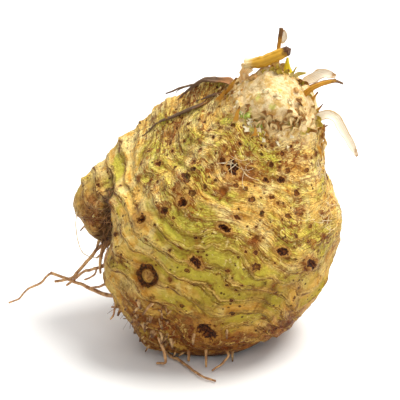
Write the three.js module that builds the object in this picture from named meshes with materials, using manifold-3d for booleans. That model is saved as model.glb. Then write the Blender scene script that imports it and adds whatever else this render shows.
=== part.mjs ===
// A celeriac root as sold: the swollen root with its leaf stalks trimmed short and its rootlets broken off.
// Millimetres, +Z up. The origin is the middle of the small flat spot that the root rests on.
// +X is to the right and +Y away from someone who looks at its best side.
//
// The root is one solid. It is a smooth body, and formulas raise its folds and lumps from it, cut its scars
// into it and trim its crown. Its rootlets and leaf-base scales are fused in. Each leaf stalk that was left
// on the crown is a solid of its own, standing in a socket.
import * as THREE from "three";
import { mergeVertices } from "three/addons/utils/BufferGeometryUtils.js";
import Module from "manifold-3d";

const wasm = await Module();
wasm.setup();

// Driving dimensions
const HEART = new THREE.Vector3(0, 0, 52); // the middle of the swollen part
const CROWN = new THREE.Vector3(27.5, -4, 110.5); // the middle of the neck
const ROWS = 66; // faces from the root's base to its crown, narrower where the folds are closer together
const COLUMNS = 45; // faces round its girth
const SOCKET_GAP = 0.3; // between a leaf stalk and the crown that it stands in
const FOOT_FADE = 9; // relief dies out over this height above the flat spot
const ROOTLET_SIDES = 5;
const HAIR_SIDES = 4; // for rootlets thinner than HAIR
const HAIR = 0.8;
const STALK_SIDES = 8;

// The smooth body is these ellipsoids, melted together: middle, half-sizes, and how widely each one
// melts.
const SWELLINGS = [
  { name: "bulb", at: [5, 2, 51], half: [47, 48, 49], melt: 0 },
  { name: "front", at: [-21, -14, 43], half: [25, 26, 27], melt: 10 },
  { name: "underside left", at: [-10.5, -4, 22.5], half: [29.3, 30, 25.5], melt: 10 },
  { name: "underside right", at: [4, -2, 23.5], half: [27, 29, 26], melt: 10 },
  { name: "shoulder", at: [-17.2, 9, 78.4], half: [30.8, 30.8, 30.6], melt: 12 },
  { name: "top", at: [0.5, 3, 91.2], half: [29, 29, 28], melt: 12 },
  { name: "right", at: [32, 4, 56], half: [21.2, 26, 27], melt: 14 },
  { name: "low right", at: [19.5, 2, 32], half: [25, 29, 24], melt: 12 },
  { name: "collar", at: [26, -2, 92.5], half: [21, 22, 20], melt: 14 },
  { name: "neck", at: CROWN.toArray(), half: [17, 17, 19], melt: 7 },
  { name: "side lobe top", at: [-42.5, 14, 70.7], half: [15, 17, 14], melt: 9 },
  { name: "side lobe", at: [-45.5, 16, 58.5], half: [16, 18, 19], melt: 5 },
  { name: "back", at: [-6, 26, 43.5], half: [34, 24, 34], melt: 12 },
  { name: "back right", at: [23, 24, 37], half: [24, 22, 26], melt: 8 },
].map((s) => ({ ...s, at: new THREE.Vector3(...s.at), half: new THREE.Vector3(...s.half) }));

// The knife cuts that trimmed the crown: which way each face looks, and how far it is from the neck's
// middle.
const CUT_MELT = 1.6;
const CUTS = [
  { normal: [0.22, -0.42, 0.88], from: 14.2 },
  { normal: [0.72, -0.45, 0.53], from: 12.6 },
  { normal: [-0.62, -0.3, 0.72], from: 15.2 },
  { normal: [0.3, 0.6, 0.74], from: 14.4 },
].map((c) => ({ normal: new THREE.Vector3(...c.normal).normalize(), from: c.from }));

// Folds ring the root's axis. They are close together at the crown and wide apart at the base.
const RING_RADIUS = 55;
const FOLD_AT_CROWN = 3.4;
const FOLD_GROWTH = 0.062;
const FOLD_LIP = 0.74; // the share of a fold that rises before its lip drops away
const FOLD_HEIGHT_SHARE = 0.15;
const FOLDS_START = 30; // arc distance from the crown's middle where the folds are at full height
// Folds are low in some patches.
const FOLD_PATCHES = { across: [0.09, -0.11, 0.07], turn: 0.8, height: 0.35 };
const FOLD_WAVES = [
  { across: [0.112, 0.034, 0.021], turn: 0.4, height: 0.52 },
  { across: [-0.061, 0.142, 0.087], turn: 2.1, height: 0.34 },
  { across: [0.173, -0.081, -0.118], turn: 4.4, height: 0.26 },
  { across: [0.055, 0.212, -0.164], turn: 1.2, height: 0.14 },
].map(wave);
const LUMP_WAVES = [
  { across: [0.21, 0.09, 0.15], turn: 1.0, height: 0.6 },
  { across: [-0.12, 0.24, 0.1], turn: 3.3, height: 0.5 },
  { across: [0.08, -0.14, 0.27], turn: 5.1, height: 0.5 },
].map(wave);

// The crown is rough where the leaves were torn and cut away.
const CROWN_WAVES = [
  { across: [0.9, 0.35, -0.2], turn: 0.3, height: 0.3 },
  { across: [-0.4, 0.95, 0.35], turn: 2.2, height: 0.3 },
  { across: [0.55, -0.3, 0.8], turn: 4.0, height: 0.25 },
].map(wave);

// The cleft between the side lobe and the rest, as points along its bottom.
const CLEFT = [
  [-46.5, 5, 76], [-46, -3, 69], [-46.8, -5, 62], [-47.8, -3, 54], [-48.4, 1, 45], [-47.8, 5, 36],
];
const CLEFT_DEEP = 2.6;
const CLEFT_HALF = 3.2;

// Scars where big roots broke off, sunk below a raised rim.
const SCARS = [
  { at: [-30, -27.5, 69], radius: 3.4, deep: 1.6 },
  { at: [4.5, -41.5, 70.5], radius: 2.8, deep: 1.5 },
  { at: [28.5, -38.5, 59], radius: 3.0, deep: 1.6 },
  { at: [-13, -33, 79], radius: 3.4, deep: 1.5 },
  { at: [8, -28, 92], radius: 4.2, deep: 1.3 },
  { at: [-7.5, -44, 56.5], radius: 3.6, deep: 1.7 },
  { at: [-3, -37, 21], radius: 6.5, deep: 2.4 },
  { at: [40.5, -30, 50], radius: 3.8, deep: 1.6 },
  { at: [51, 12, 62], radius: 3.6, deep: 1.6 },
  { at: [22, 46, 60], radius: 4.4, deep: 1.8 },
  { at: [-18, 46, 66], radius: 3.4, deep: 1.6 },
  { at: [-2, 50, 36], radius: 5.0, deep: 2.0 },
  { at: [-52, 24, 47], radius: 3.6, deep: 1.6 },
  { at: [38, 34, 30], radius: 4.0, deep: 1.8 },
].map((s) => ({ ...s, at: new THREE.Vector3(...s.at) }));

// The largest scar is a sunken ring round a level middle.
const RING_SCAR = { at: new THREE.Vector3(-28, -39, 47.5), radius: 4.4, groove: 1.3 };

// Small pits of lost rootlets, thrown over the root by a seeded draw.
const PITS = 21;
const PIT_SEED = 31;
const PIT_RADIUS = [1.3, 2.4];

// Rootlets, from inside the root out to the broken tip: points by hand, and the thickness at each end.
const ROOTLETS = [
  {
    name: "cleft long", from: 1.0, to: 0.7,
    route: [
      [-44, 12, 42], [-52, 12, 38], [-54.5, 11, 34.5],
      [-61, 12, 27], [-65, 14, 22], [-72.5, 17, 19],
    ],
  },
  {
    name: "cleft short", from: 0.9, to: 0.6,
    route: [
      [-43, 5, 35], [-51.5, 6, 31], [-55.5, 8, 29],
      [-59.5, 10, 26.5], [-63.5, 12, 22], [-67, 14, 18.5],
    ],
  },
  {
    name: "trailing", from: 1.1, to: 0.75,
    route: [
      [-38, -2, 21], [-46, 0, 20], [-50, 3, 19.5],
      [-56, 7, 20.5], [-63.5, 12, 21.5], [-74.5, 18, 23],
    ],
  },
  {
    name: "trailing tip", from: 0.7, to: 0.45,
    route: [
      [-73, 17, 22.8], [-74.6, 18, 22.6], [-80.5, 22, 15.5],
      [-86, 25.5, 11.5], [-91, 29, 4.6], [-96, 30, 1.9],
    ],
  },
  {
    name: "under trailing", from: 0.8, to: 0.5,
    route: [[-40, -2, 29], [-46.5, -2, 27], [-50.5, 0, 24.5], [-56, 6.6, 20.6]],
  },
  {
    name: "cleft hair", from: 0.6, to: 0.45,
    route: [[-41, 4, 38], [-51.5, 4, 32], [-53, 4, 29], [-55.5, 5, 26.5], [-58, 6, 25]],
  },
  {
    name: "bundle outer", from: 1.3, to: 0.6,
    route: [[-44, 5, 47], [-49, 3.5, 41], [-50.5, 2, 35], [-50.5, 2, 30]],
  },
  {
    name: "bundle inner", from: 1.2, to: 0.6,
    route: [[-42, 0, 48], [-46.5, -1, 42], [-48, -1, 37], [-48, -1, 32]],
  },
  {
    name: "side hair", from: 0.6, to: 0.45,
    route: [[-36, -14, 26], [-42.5, -14, 24.5], [-43.5, -14, 20.5], [-44, -13, 17], [-45.5, -12, 14]],
  },
  { name: "side twig", from: 0.6, to: 0.45, route: [[-34, -13, 22], [-40, -14, 21], [-45, -12, 20]] },
  {
    name: "foot hooked", from: 0.95, to: 0.6,
    route: [
      [-24, -24, 22], [-24.4, -30, 16.5], [-22.5, -32, 12],
      [-21, -33.5, 7.4], [-21, -32.5, 3.2], [-24.5, -29.5, 1.2],
    ],
  },
  {
    name: "foot long", from: 0.85, to: 0.5,
    route: [
      [-19, -12, 6], [-20, -20, 1.6], [-15, -27, 1.5],
      [-10, -34.8, 1.6], [-4, -42.6, 1.4], [1, -45.6, 1.1],
    ],
  },
  {
    name: "foot stub", from: 0.85, to: 0.7,
    route: [[-11, -21, 14], [-10.7, -26, 8.4], [-10.7, -27.4, 1.2]],
  },
  { name: "foot spur", from: 0.8, to: 0.5, route: [[-2, -24, 12], [-3.1, -31, 6.5], [-3, -33.5, 1.3]] },
  {
    name: "foot curl", from: 0.75, to: 0.45,
    route: [[3, -22, 12], [6, -29, 7.2], [6.8, -31, 6], [4.6, -33, 3.8], [-0.5, -36.5, 1.2]],
  },
  {
    name: "back left", from: 1.1, to: 0.6,
    route: [[-24, 34, 16], [-32, 42, 11], [-38, 47, 7], [-46, 50, 4.5], [-52, 56, 1.6]],
  },
  {
    name: "back low", from: 0.95, to: 0.5,
    route: [[-8, 38, 14], [-11, 47, 9], [-9, 53, 4], [-14, 60, 1.4]],
  },
  {
    name: "back right", from: 0.9, to: 0.5,
    route: [[13, 26, 18], [22, 45, 8.5], [29, 49, 3.6], [33, 56, 1.3]],
  },
  {
    name: "lobe under", from: 0.9, to: 0.5,
    route: [[-46, 20, 46], [-51, 24, 37], [-50, 27, 31], [-54, 30, 25]],
  },
];

// Torn strings that stand up from the crown's edge, and a dry twig that reaches out over the shoulder.
const SPIKES = [
  { name: "left", from: 1.0, to: 0.5, route: [[5, -1, 109], [7, -2.6, 115], [10, -3.5, 120.2]] },
  {
    name: "shoulder twig",
    from: 0.7,
    to: 0.4,
    route: [[-3.1, 17.4, 112.4], [-7, 20, 113.2], [-13.6, 20, 111.8], [-20.9, 20, 109]],
  },
  {
    name: "front left", from: 1.0, to: 0.5,
    route: [[8.5, -11, 107.5], [9.3, -14.5, 112], [11.2, -15.5, 115.4]],
  },
  { name: "middle", from: 0.9, to: 0.45, route: [[33, 0.5, 114], [33.6, 0, 121], [34.6, -0.5, 124.6]] },
  { name: "right", from: 0.9, to: 0.45, route: [[40, -6, 104], [43.5, -7, 109.5], [46.5, -7.5, 113.4]] },
  {
    name: "low right", from: 0.9, to: 0.45,
    route: [[40, -8, 99], [45, -9, 102.5], [48.6, -9.5, 104.6]],
  },
];

// Short broken stubs of rootlets: all over the root's base by a seeded draw, and thicker in a few
// patches.
const STUBS = 15;
const STUB_SEED = 7;
const STUB_PATCHES = [
  { at: [-27, -35, 27], reach: 9, count: 8 },
  { at: [-46, 0, 38], reach: 8, count: 4 },
];
const STUB_LENGTH = [2.4, 6.2];
const STUB_RADIUS = [0.7, 1.3];

// Torn leaf-base scales, in two rows round the neck. Each stands out from the crown a little at its tip.
const SCALE_ROWS = [
  { count: 9, arc: 20, turn: 0.25, length: 8.5, width: 2.5 },
  { count: 11, arc: 25, turn: 0.0, length: 7.5, width: 2.3 },
];
const SCALE_THICK = 0.5;
const SCALE_LIFT = 2.2;
// The rings are nearer the crown on this side.
const SCALES_HIGHER = { toward: new THREE.Vector3(0.5, -0.85, 0), by: 5 };

// Dried strips of leaf base along the shoulder, from the neck outward, and how high each point is over
// the body.
const STRIPS = [
  {
    name: "upper strip",
    half: 1.9,
    route: [
      [10.6, 2.3, 118.7], [6.4, 7.4, 117.7], [1.3, 13.2, 116.1],
      [-3.1, 17.4, 114.1], [-10.1, 21.1, 109.6], [-18.1, 22, 103],
    ],
    lifts: [-0.6, 0.9, 1.4, 1.8, 1.1, -0.6],
  },
  {
    name: "lower strip",
    half: 1.2,
    route: [
      [0.4, 6.2, 112.4], [-5, 6, 108.8], [-9.2, 8.7, 105.9], [-13.6, 11.2, 102.5],
      [-18.6, 13.6, 99.5], [-25, 17.2, 95.5], [-28.8, 17.3, 91.8], [-33, 16.8, 88],
    ],
    lifts: [-0.6, 0.3, 0.5, 0.5, 0.4, 0.4, 0.2, -0.6],
  },
];
const STRIP_THICK = 0.42;

// Leaf stalks that were left on the crown. Half-width and half-thickness run from the socket to the tip.
const LEAF_STALKS = [
  {
    name: "leaf_stalk_top",
    color: 0xc59a3c,
    wide: [2.6, 2.5],
    thick: [2.2, 1.8],
    face: [0, -0.3, 1],
    route: [
      [15.5, 3.4, 114], [13.6, 3.2, 121], [16.2, 1.6, 126.6],
      [22, -1, 130.6], [27.5, -2.8, 133.4], [32, -4, 135.6],
    ],
  },
  {
    name: "leaf_stalk_thin",
    color: 0xbf9a52,
    wide: [0.9, 1.1],
    thick: [0.9, 0.7],
    face: [0, -1, 0],
    route: [[30.5, 9, 118], [29.6, 8.6, 127], [29.1, 8, 136], [29.1, 7.6, 142.6]],
  },
  {
    name: "leaf_bud",
    color: 0xd6c43a,
    wide: [1.3, 0.5],
    thick: [0.7, 0.4],
    face: [0, -1, 0],
    route: [[33.5, 3, 118], [32.8, 2.6, 124], [32.6, 2, 129.2]],
  },
  {
    name: "leaf_stalk_right",
    color: 0xd9b878,
    wide: [1.7, 0.8],
    thick: [0.8, 0.55],
    face: [-0.3, -0.5, 0.8],
    route: [[34.5, 2.5, 114], [38.6, 2, 119.2], [42.5, 1, 122], [47, 0, 124.4], [52, -1.5, 123.6]],
  },
  {
    name: "leaf_stalk_low",
    color: 0xb98a34,
    wide: [1.4, 0.6],
    thick: [1.0, 0.5],
    face: [0, -0.6, 0.8],
    route: [
      [36, -5.5, 113.5], [40, -6.2, 118.6], [43, -7, 121],
      [47.6, -8, 123], [51.5, -9, 124], [54.6, -10, 123.2],
    ],
  },
  {
    name: "leaf_sheath_curled",
    color: 0xe8d9b8,
    wide: [1.2, 2.4],
    thick: [0.6, 0.45],
    face: [0.3, -0.75, 0.55],
    route: [
      [36.5, -9, 103.5], [42.5, -10, 106.8], [45.2, -10.5, 108.8], [48.3, -11, 109.8],
      [51.6, -12, 108.3], [53.8, -13, 104.6], [57.2, -14, 99.2], [61, -15, 92.4],
    ],
    taper: [0.6, 0.8, 1, 1, 0.9, 0.75, 0.5, 0.2],
  },
];

const ROOT_COLOR = 0xb99a5c;

function wave({ across, turn, height }) {
  return { across: new THREE.Vector3(...across), turn, height };
}

function sumOf(waves, p) {
  return waves.reduce((sum, w) => sum + w.height * Math.sin(w.across.dot(p) + w.turn), 0);
}

function smooth(from, to, value) {
  return THREE.MathUtils.smoothstep(value, from, to);
}

// A seeded draw of numbers from 0 to 1, the same on every run.
function draw(seed) {
  let state = seed;
  return () => {
    state = (state * 48271) % 2147483647;
    return state / 2147483647;
  };
}

// The smooth body as a distance: below zero inside, above zero outside.
function ellipsoid(p, { at, half }) {
  const q = p.clone().sub(at).divide(half);
  const scaled = q.length();
  return (scaled * (scaled - 1)) / Math.max(q.divide(half).length(), 1e-9);
}

function melt(a, b, width) {
  const share = THREE.MathUtils.clamp(0.5 + (0.5 * (b - a)) / width, 0, 1);
  return b * (1 - share) + a * share - width * share * (1 - share);
}

function body(p) {
  const [bulb, ...others] = SWELLINGS;
  const whole = others.reduce((d, s) => melt(d, ellipsoid(p, s), s.melt), ellipsoid(p, bulb));
  const fromNeck = p.clone().sub(CROWN);
  return CUTS.reduce((d, c) => -melt(-d, -(fromNeck.dot(c.normal) - c.from), CUT_MELT), whole);
}

function outward(p) {
  const step = 0.05;
  const slope = ["x", "y", "z"].map((axis) => {
    const ahead = p.clone();
    const behind = p.clone();
    ahead[axis] += step;
    behind[axis] -= step;
    return body(ahead) - body(behind);
  });
  return new THREE.Vector3(...slope).normalize();
}

// The point of the smooth body nearest to p, near enough, and the way the surface looks there.
function ontoBody(p) {
  const q = p.clone();
  for (let i = 0; i < 10; i++) q.addScaledVector(outward(q), -body(q));
  return { point: q, normal: outward(q) };
}

// The root's own directions: along its axis to the crown, and two across it.
const AXIS = CROWN.clone().sub(HEART).normalize();
const ACROSS = new THREE.Vector3().crossVectors(AXIS, new THREE.Vector3(0, 1, 0)).normalize();
const FACING = new THREE.Vector3().crossVectors(AXIS, ACROSS);

// Arc distance from the crown, as if the root were a ball.
function arcFromCrown(p) {
  const q = p.clone().sub(HEART);
  return RING_RADIUS * Math.acos(THREE.MathUtils.clamp(q.normalize().dot(AXIS), -1, 1));
}

// How many folds lie between the crown and p. Each whole number is a lip.
function foldCount(p) {
  const arc = arcFromCrown(p);
  const waving = 0.4 + 0.6 * smooth(25, 85, arc);
  return Math.log(1 + (FOLD_GROWTH * arc) / FOLD_AT_CROWN) / FOLD_GROWTH + waving * sumOf(FOLD_WAVES, p);
}

function foldHeight(p) {
  const arc = arcFromCrown(p);
  const count = foldCount(p);
  const part = count - Math.floor(count);
  const profile = part < FOLD_LIP ? smooth(0, FOLD_LIP, part) : 1 - smooth(FOLD_LIP, 1, part);
  const spacing = FOLD_AT_CROWN + FOLD_GROWTH * arc;
  const share = FOLD_HEIGHT_SHARE * (1 + sumOf([wave(FOLD_PATCHES)], p));
  return spacing * share * smooth(FOLDS_START - 12, FOLDS_START, arc) * (profile - 0.5);
}

function cleftHeight(p) {
  const points = CLEFT.map((point) => new THREE.Vector3(...point));
  const nearest = new THREE.Vector3();
  const distances = points.slice(1).map((end, i) => {
    new THREE.Line3(points[i], end).closestPointToPoint(p, true, nearest);
    return nearest.distanceTo(p);
  });
  return -CLEFT_DEEP * Math.exp(-((Math.min(...distances) / CLEFT_HALF) ** 2));
}

function rimHeight(p) {
  return SCARS.reduce((sum, scar) => {
    const off = p.distanceTo(scar.at) / scar.radius;
    return sum + 0.5 * Math.exp(-(((off - 1.1) / 0.45) ** 2));
  }, 0);
}

function relief(p) {
  const foot = smooth(0.5, FOOT_FADE, p.z);
  const below = smooth(16, 40, arcFromCrown(p));
  const skin = foldHeight(p) + below * sumOf(LUMP_WAVES, p) + cleftHeight(p) + rimHeight(p);
  return foot * (skin + (1 - below) * sumOf(CROWN_WAVES, p));
}

// A ray out of the root's core. along runs from 0 at the base to 1 at the crown, turn once round the
// axis.
function ray(along, turn) {
  const tilt = Math.PI * (along - 0.5);
  const up = smooth(0.45, 0.95, along);
  const start = HEART.clone().lerp(CROWN, up);
  const way = ACROSS.clone()
    .multiplyScalar(Math.cos(turn))
    .addScaledVector(FACING, Math.sin(turn))
    .multiplyScalar(Math.cos(tilt))
    .addScaledVector(AXIS, Math.sin(tilt));
  return { start, way };
}

// Where a ray leaves the smooth body for the last time, or meets the flat spot.
function skinOf({ start, way }) {
  const far = 95;
  const coarse = 1.5;
  let outside = far;
  const at = (t) => start.clone().addScaledVector(way, t);
  while (outside > coarse && body(at(outside)) > 0) outside -= coarse;
  let inner = outside;
  let outer = outside + coarse;
  for (let i = 0; i < 12; i++) {
    const middle = (inner + outer) / 2;
    if (body(at(middle)) > 0) outer = middle;
    else inner = middle;
  }
  const floor = way.z < 0 ? -start.z / way.z : Infinity;
  return at(Math.min(inner, floor));
}

function raised(p) {
  const q = p.clone();
  if (p.z > 1e-3) q.addScaledVector(outward(p), relief(p));
  q.z = Math.max(q.z, 0);
  return q;
}

// The share of the way along at which each row lies, measured over a few meridians.
// A row's width goes with the root of the folds' spacing there.
function rowPlaces(rows) {
  const fine = 240;
  const turns = [0, 1, 2, 3, 4, 5].map((k) => (k * Math.PI) / 3);
  const lengths = [0];
  let last = null;
  for (let i = 0; i <= fine; i++) {
    const now = turns.map((turn) => skinOf(ray(i / fine, turn)));
    if (last) {
      const step = now.reduce((sum, p, k) => {
        return sum + p.distanceTo(last[k]) / Math.sqrt(FOLD_AT_CROWN + FOLD_GROWTH * arcFromCrown(p));
      }, 0);
      lengths.push(lengths[i - 1] + step);
    }
    last = now;
  }
  const whole = lengths[fine];
  return Array.from({ length: rows - 1 }, (_, row) => {
    const wanted = (whole * (row + 1)) / rows;
    const i = lengths.findIndex((length) => length >= wanted);
    return (i - (lengths[i] - wanted) / (lengths[i] - lengths[i - 1])) / fine;
  });
}

function bodyGeometry() {
  const rows = rowPlaces(ROWS);
  const points = [raised(skinOf(ray(0, 0)))];
  for (const along of rows)
    for (let c = 0; c < COLUMNS; c++) {
      points.push(raised(skinOf(ray(along, (2 * Math.PI * c) / COLUMNS))));
    }
  points.push(raised(skinOf(ray(1, 0))));
  const top = points.length - 1;
  const at = (row, column) => 1 + row * COLUMNS + (column % COLUMNS);
  const faces = [];
  for (let c = 0; c < COLUMNS; c++) {
    faces.push(0, at(0, c + 1), at(0, c));
    faces.push(top, at(rows.length - 1, c), at(rows.length - 1, c + 1));
    for (let row = 0; row < rows.length - 1; row++) {
      faces.push(at(row, c), at(row, c + 1), at(row + 1, c));
      faces.push(at(row, c + 1), at(row + 1, c + 1), at(row + 1, c));
    }
  }
  return geometryOf(points, faces);
}

function geometryOf(points, faces) {
  const geometry = new THREE.BufferGeometry().setFromPoints(points);
  geometry.setIndex(faces);
  return geometry;
}

// A closed solid swept along a curve, with an oval section that changes from end to end.
// It can be grown by the same width on every side, to make the socket that it stands in.
function sweep(route, { wide, thick, sides, segments, face, grow = 0 }) {
  const curve = new THREE.CatmullRomCurve3(route.map((p) => new THREE.Vector3(...p)));
  const points = [];
  for (let i = 0; i <= segments; i++) {
    const share = i / segments;
    const middle = curve.getPointAt(share);
    const along = curve.getTangentAt(share);
    const side = new THREE.Vector3().crossVectors(along, face).normalize();
    const up = new THREE.Vector3().crossVectors(side, along);
    if (i === 0) middle.addScaledVector(along, -grow);
    if (i === segments) middle.addScaledVector(along, grow);
    for (let k = 0; k < sides; k++) {
      const turn = (2 * Math.PI * (k + 0.5)) / sides;
      points.push(
        middle.clone()
          .addScaledVector(side, (wide(share) + grow) * Math.cos(turn))
          .addScaledVector(up, (thick(share) + grow) * Math.sin(turn)),
      );
    }
  }
  const faces = [];
  const at = (i, k) => i * sides + (k % sides);
  for (let k = 1; k < sides - 1; k++) {
    faces.push(at(0, 0), at(0, k + 1), at(0, k));
    faces.push(at(segments, 0), at(segments, k), at(segments, k + 1));
  }
  for (let i = 0; i < segments; i++)
    for (let k = 0; k < sides; k++) {
      faces.push(at(i, k), at(i, k + 1), at(i + 1, k));
      faces.push(at(i, k + 1), at(i + 1, k + 1), at(i + 1, k));
    }
  return geometryOf(points, faces);
}

function between([from, to]) {
  return (share) => from + (to - from) * share;
}

// A solid for joining and cutting, facing out whichever way its faces were wound.
// Corners closer to each other than near, in millimetres, become one.
function solid(geometry, near = 1e-4) {
  const bare = geometry.clone();
  bare.deleteAttribute("normal");
  bare.deleteAttribute("uv");
  const merged = mergeVertices(bare, near);
  const triVerts = new Uint32Array(merged.index.array);
  const make = () =>
    new wasm.Manifold(
      new wasm.Mesh({
        numProp: 3,
        vertProperties: new Float32Array(merged.attributes.position.array),
        triVerts,
      }),
    );
  const made = make();
  if (made.volume() > 0) return made;
  for (let i = 0; i < triVerts.length; i += 3)
    [triVerts[i + 1], triVerts[i + 2]] = [triVerts[i + 2], triVerts[i + 1]];
  return make();
}

function geometryFrom(made) {
  const mesh = made.getMesh();
  const geometry = new THREE.BufferGeometry();
  geometry.setAttribute("position", new THREE.BufferAttribute(mesh.vertProperties, 3));
  geometry.setIndex(new THREE.BufferAttribute(mesh.triVerts, 1));
  return geometry;
}

const SIDEWAYS = new THREE.Vector3(0.31, 0.87, 0.38); // a direction that no rootlet runs along

function rootlets() {
  return [...ROOTLETS, ...SPIKES].map(({ route, from, to }) => {
    const radius = between([from, to]);
    const segments = Math.min(7, route.length + 1);
    const sides = from < HAIR ? HAIR_SIDES : ROOTLET_SIDES;
    return sweep(route, { wide: radius, thick: radius, sides, segments, face: SIDEWAYS });
  });
}

function stubs() {
  const next = draw(STUB_SEED);
  const span = ([low, high]) => low + (high - low) * next();
  const somewhereLow = () => skinOf(ray(0.06 + 0.24 * next(), 2 * Math.PI * next()));
  const scattered = Array.from({ length: STUBS }, somewhereLow);
  const gathered = STUB_PATCHES.flatMap(({ at, reach, count }) =>
    Array.from({ length: count }, () => {
      const off = new THREE.Vector3(next() - 0.5, next() - 0.5, next() - 0.5).multiplyScalar(2 * reach);
      return ontoBody(new THREE.Vector3(...at).add(off)).point;
    }),
  );
  return [...scattered, ...gathered].map((foot) => {
    const length = span(STUB_LENGTH);
    const radius = span(STUB_RADIUS);
    const normal = outward(foot);
    const tip = foot.clone().addScaledVector(normal, length);
    tip.z -= 0.25 * length;
    return { foot, normal, tip, radius };
  })
    .filter(({ foot, tip }) => foot.z > 4 && tip.z > 1.5)
    .filter(({ foot }) => SCARS.every((scar) => scar.at.distanceTo(foot) > scar.radius + 2))
    .map(({ foot, normal, tip, radius }) => {
      const sunk = foot.clone().addScaledVector(normal, -3);
      const route = [sunk, tip].map((p) => p.toArray());
      const taper = between([1.4 * radius, 0.55 * radius]);
      return sweep(route, { wide: taper, thick: taper, sides: HAIR_SIDES, segments: 1, face: SIDEWAYS });
    });
}

// A tool for cutting a scar: a flat-topped bowl, set into the surface at a point near it.
function bowl({ at, radius, deep }) {
  const sides = radius > 3 ? 7 : 5;
  const { point, normal } = ontoBody(at);
  const turned = new THREE.Quaternion().setFromUnitVectors(new THREE.Vector3(0, 0, 1), normal);
  const middle = point.clone().addScaledVector(normal, relief(point));
  const place = (x, y, z) => new THREE.Vector3(x, y, z).applyQuaternion(turned).add(middle);
  const points = [place(0, 0, 2.6), place(0, 0, -deep)];
  const rings = radius > 3 ? [[1.3, 2.5], [0.65, -0.75 * deep]] : [[1.6, 0.8]];
  for (const [wide, high] of rings)
    for (let k = 0; k < sides; k++) {
      const turn = (2 * Math.PI * k) / sides;
      const reach = radius * wide * (1 + 0.12 * Math.sin(2 * turn + at.x));
      points.push(place(reach * Math.cos(turn), reach * Math.sin(turn), high));
    }
  const on = (ring, k) => 2 + ring * sides + (k % sides);
  const last = rings.length - 1;
  const faces = [];
  for (let k = 0; k < sides; k++) {
    faces.push(0, on(0, k), on(0, k + 1));
    faces.push(1, on(last, k + 1), on(last, k));
    for (let ring = 0; ring < last; ring++) {
      faces.push(on(ring, k), on(ring + 1, k), on(ring, k + 1));
      faces.push(on(ring, k + 1), on(ring + 1, k), on(ring + 1, k + 1));
    }
  }
  return geometryOf(points, faces);
}

function pits() {
  const next = draw(PIT_SEED);
  return Array.from({ length: PITS }, () => {
    const at = skinOf(ray(0.3 + 0.42 * next(), 2 * Math.PI * next()));
    const radius = PIT_RADIUS[0] + (PIT_RADIUS[1] - PIT_RADIUS[0]) * next();
    return { at, radius, deep: 0.55 * radius };
  })
    .filter(({ at, radius }) => SCARS.every((scar) => scar.at.distanceTo(at) > scar.radius + radius + 1))
    .map(bowl);
}

function ringGroove() {
  const { at, radius, groove } = RING_SCAR;
  const { point, normal } = ontoBody(at);
  const turned = new THREE.Quaternion().setFromUnitVectors(new THREE.Vector3(0, 0, 1), normal);
  const middle = point.clone().addScaledVector(normal, relief(point) + 0.2);
  const ring = new THREE.TorusGeometry(radius, groove, 4, 11);
  return ring.applyQuaternion(turned).translate(middle.x, middle.y, middle.z);
}

// A scale lies on the neck with its base sunk in, and its pointed tip stands out toward the crown.
function scaleAt(arc, away, length, width) {
  const seen = (distance) => {
    const angle = distance / RING_RADIUS;
    const way = AXIS.clone().multiplyScalar(Math.cos(angle)).addScaledVector(away, Math.sin(angle));
    return ontoBody(HEART.clone().addScaledVector(way, 58 / Math.max(0.6, Math.cos(angle * 0.9))));
  };
  const base = seen(arc);
  const middle = seen(arc - 0.5 * length);
  const tip = seen(arc - length);
  const lifted = (spot, by) => spot.point.clone().addScaledVector(spot.normal, by).toArray();
  const route = [lifted(base, -1.4), lifted(middle, 0.8), lifted(tip, SCALE_LIFT)];
  return sweep(route, {
    wide: (share) => width * (share < 0.45 ? 1 : 1 - 0.85 * ((share - 0.45) / 0.55)),
    thick: () => SCALE_THICK,
    sides: 4,
    segments: 2,
    face: middle.normal,
  });
}

function scales() {
  return SCALE_ROWS.flatMap(({ count, arc, turn, length, width }) =>
    Array.from({ length: count }, (_, i) => {
      const sway = Math.sin(i * 2.4 + arc);
      const round = 2 * Math.PI * ((i + turn) / count) + 0.12 * sway;
      const away = ACROSS.clone().multiplyScalar(Math.cos(round));
      away.addScaledVector(FACING, Math.sin(round));
      const higher = SCALES_HIGHER.by * Math.max(0, away.dot(SCALES_HIGHER.toward));
      return scaleAt(arc + 1.2 * sway - higher, away, length * (1 + 0.2 * sway), width);
    }),
  );
}

// A strip leaves the neck and lies along the shoulder, and its ends are sunk into the body.
function strips() {
  return STRIPS.map(({ route, lifts, half }) => {
    const spots = route.map((p) => ontoBody(new THREE.Vector3(...p)));
    const path = spots.map((spot, i) => spot.point.addScaledVector(spot.normal, lifts[i]).toArray());
    const face = spots[2].normal.clone().add(new THREE.Vector3(0.2, 0.25, 0.3)).normalize();
    return sweep(path, {
      wide: (share) => half * (1 - 0.7 * Math.abs(2 * share - 0.7) ** 2),
      thick: () => STRIP_THICK,
      sides: 4,
      segments: 6,
      face,
    });
  });
}

// A leaf stalk, or the socket that it stands in when it is grown by the gap.
function stalkSolid({ route, wide, thick, face, taper }, grow) {
  const along = (share) => {
    if (!taper) return 1;
    const place = share * (taper.length - 1);
    const i = Math.min(taper.length - 2, Math.floor(place));
    return taper[i] + (taper[i + 1] - taper[i]) * (place - i);
  };
  return solid(
    sweep(route, {
      wide: (share) => between(wide)(share) * along(share),
      thick: between(thick),
      sides: STALK_SIDES,
      segments: 3 * (route.length - 1),
      face: new THREE.Vector3(...face),
      grow,
    }),
  );
}

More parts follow.
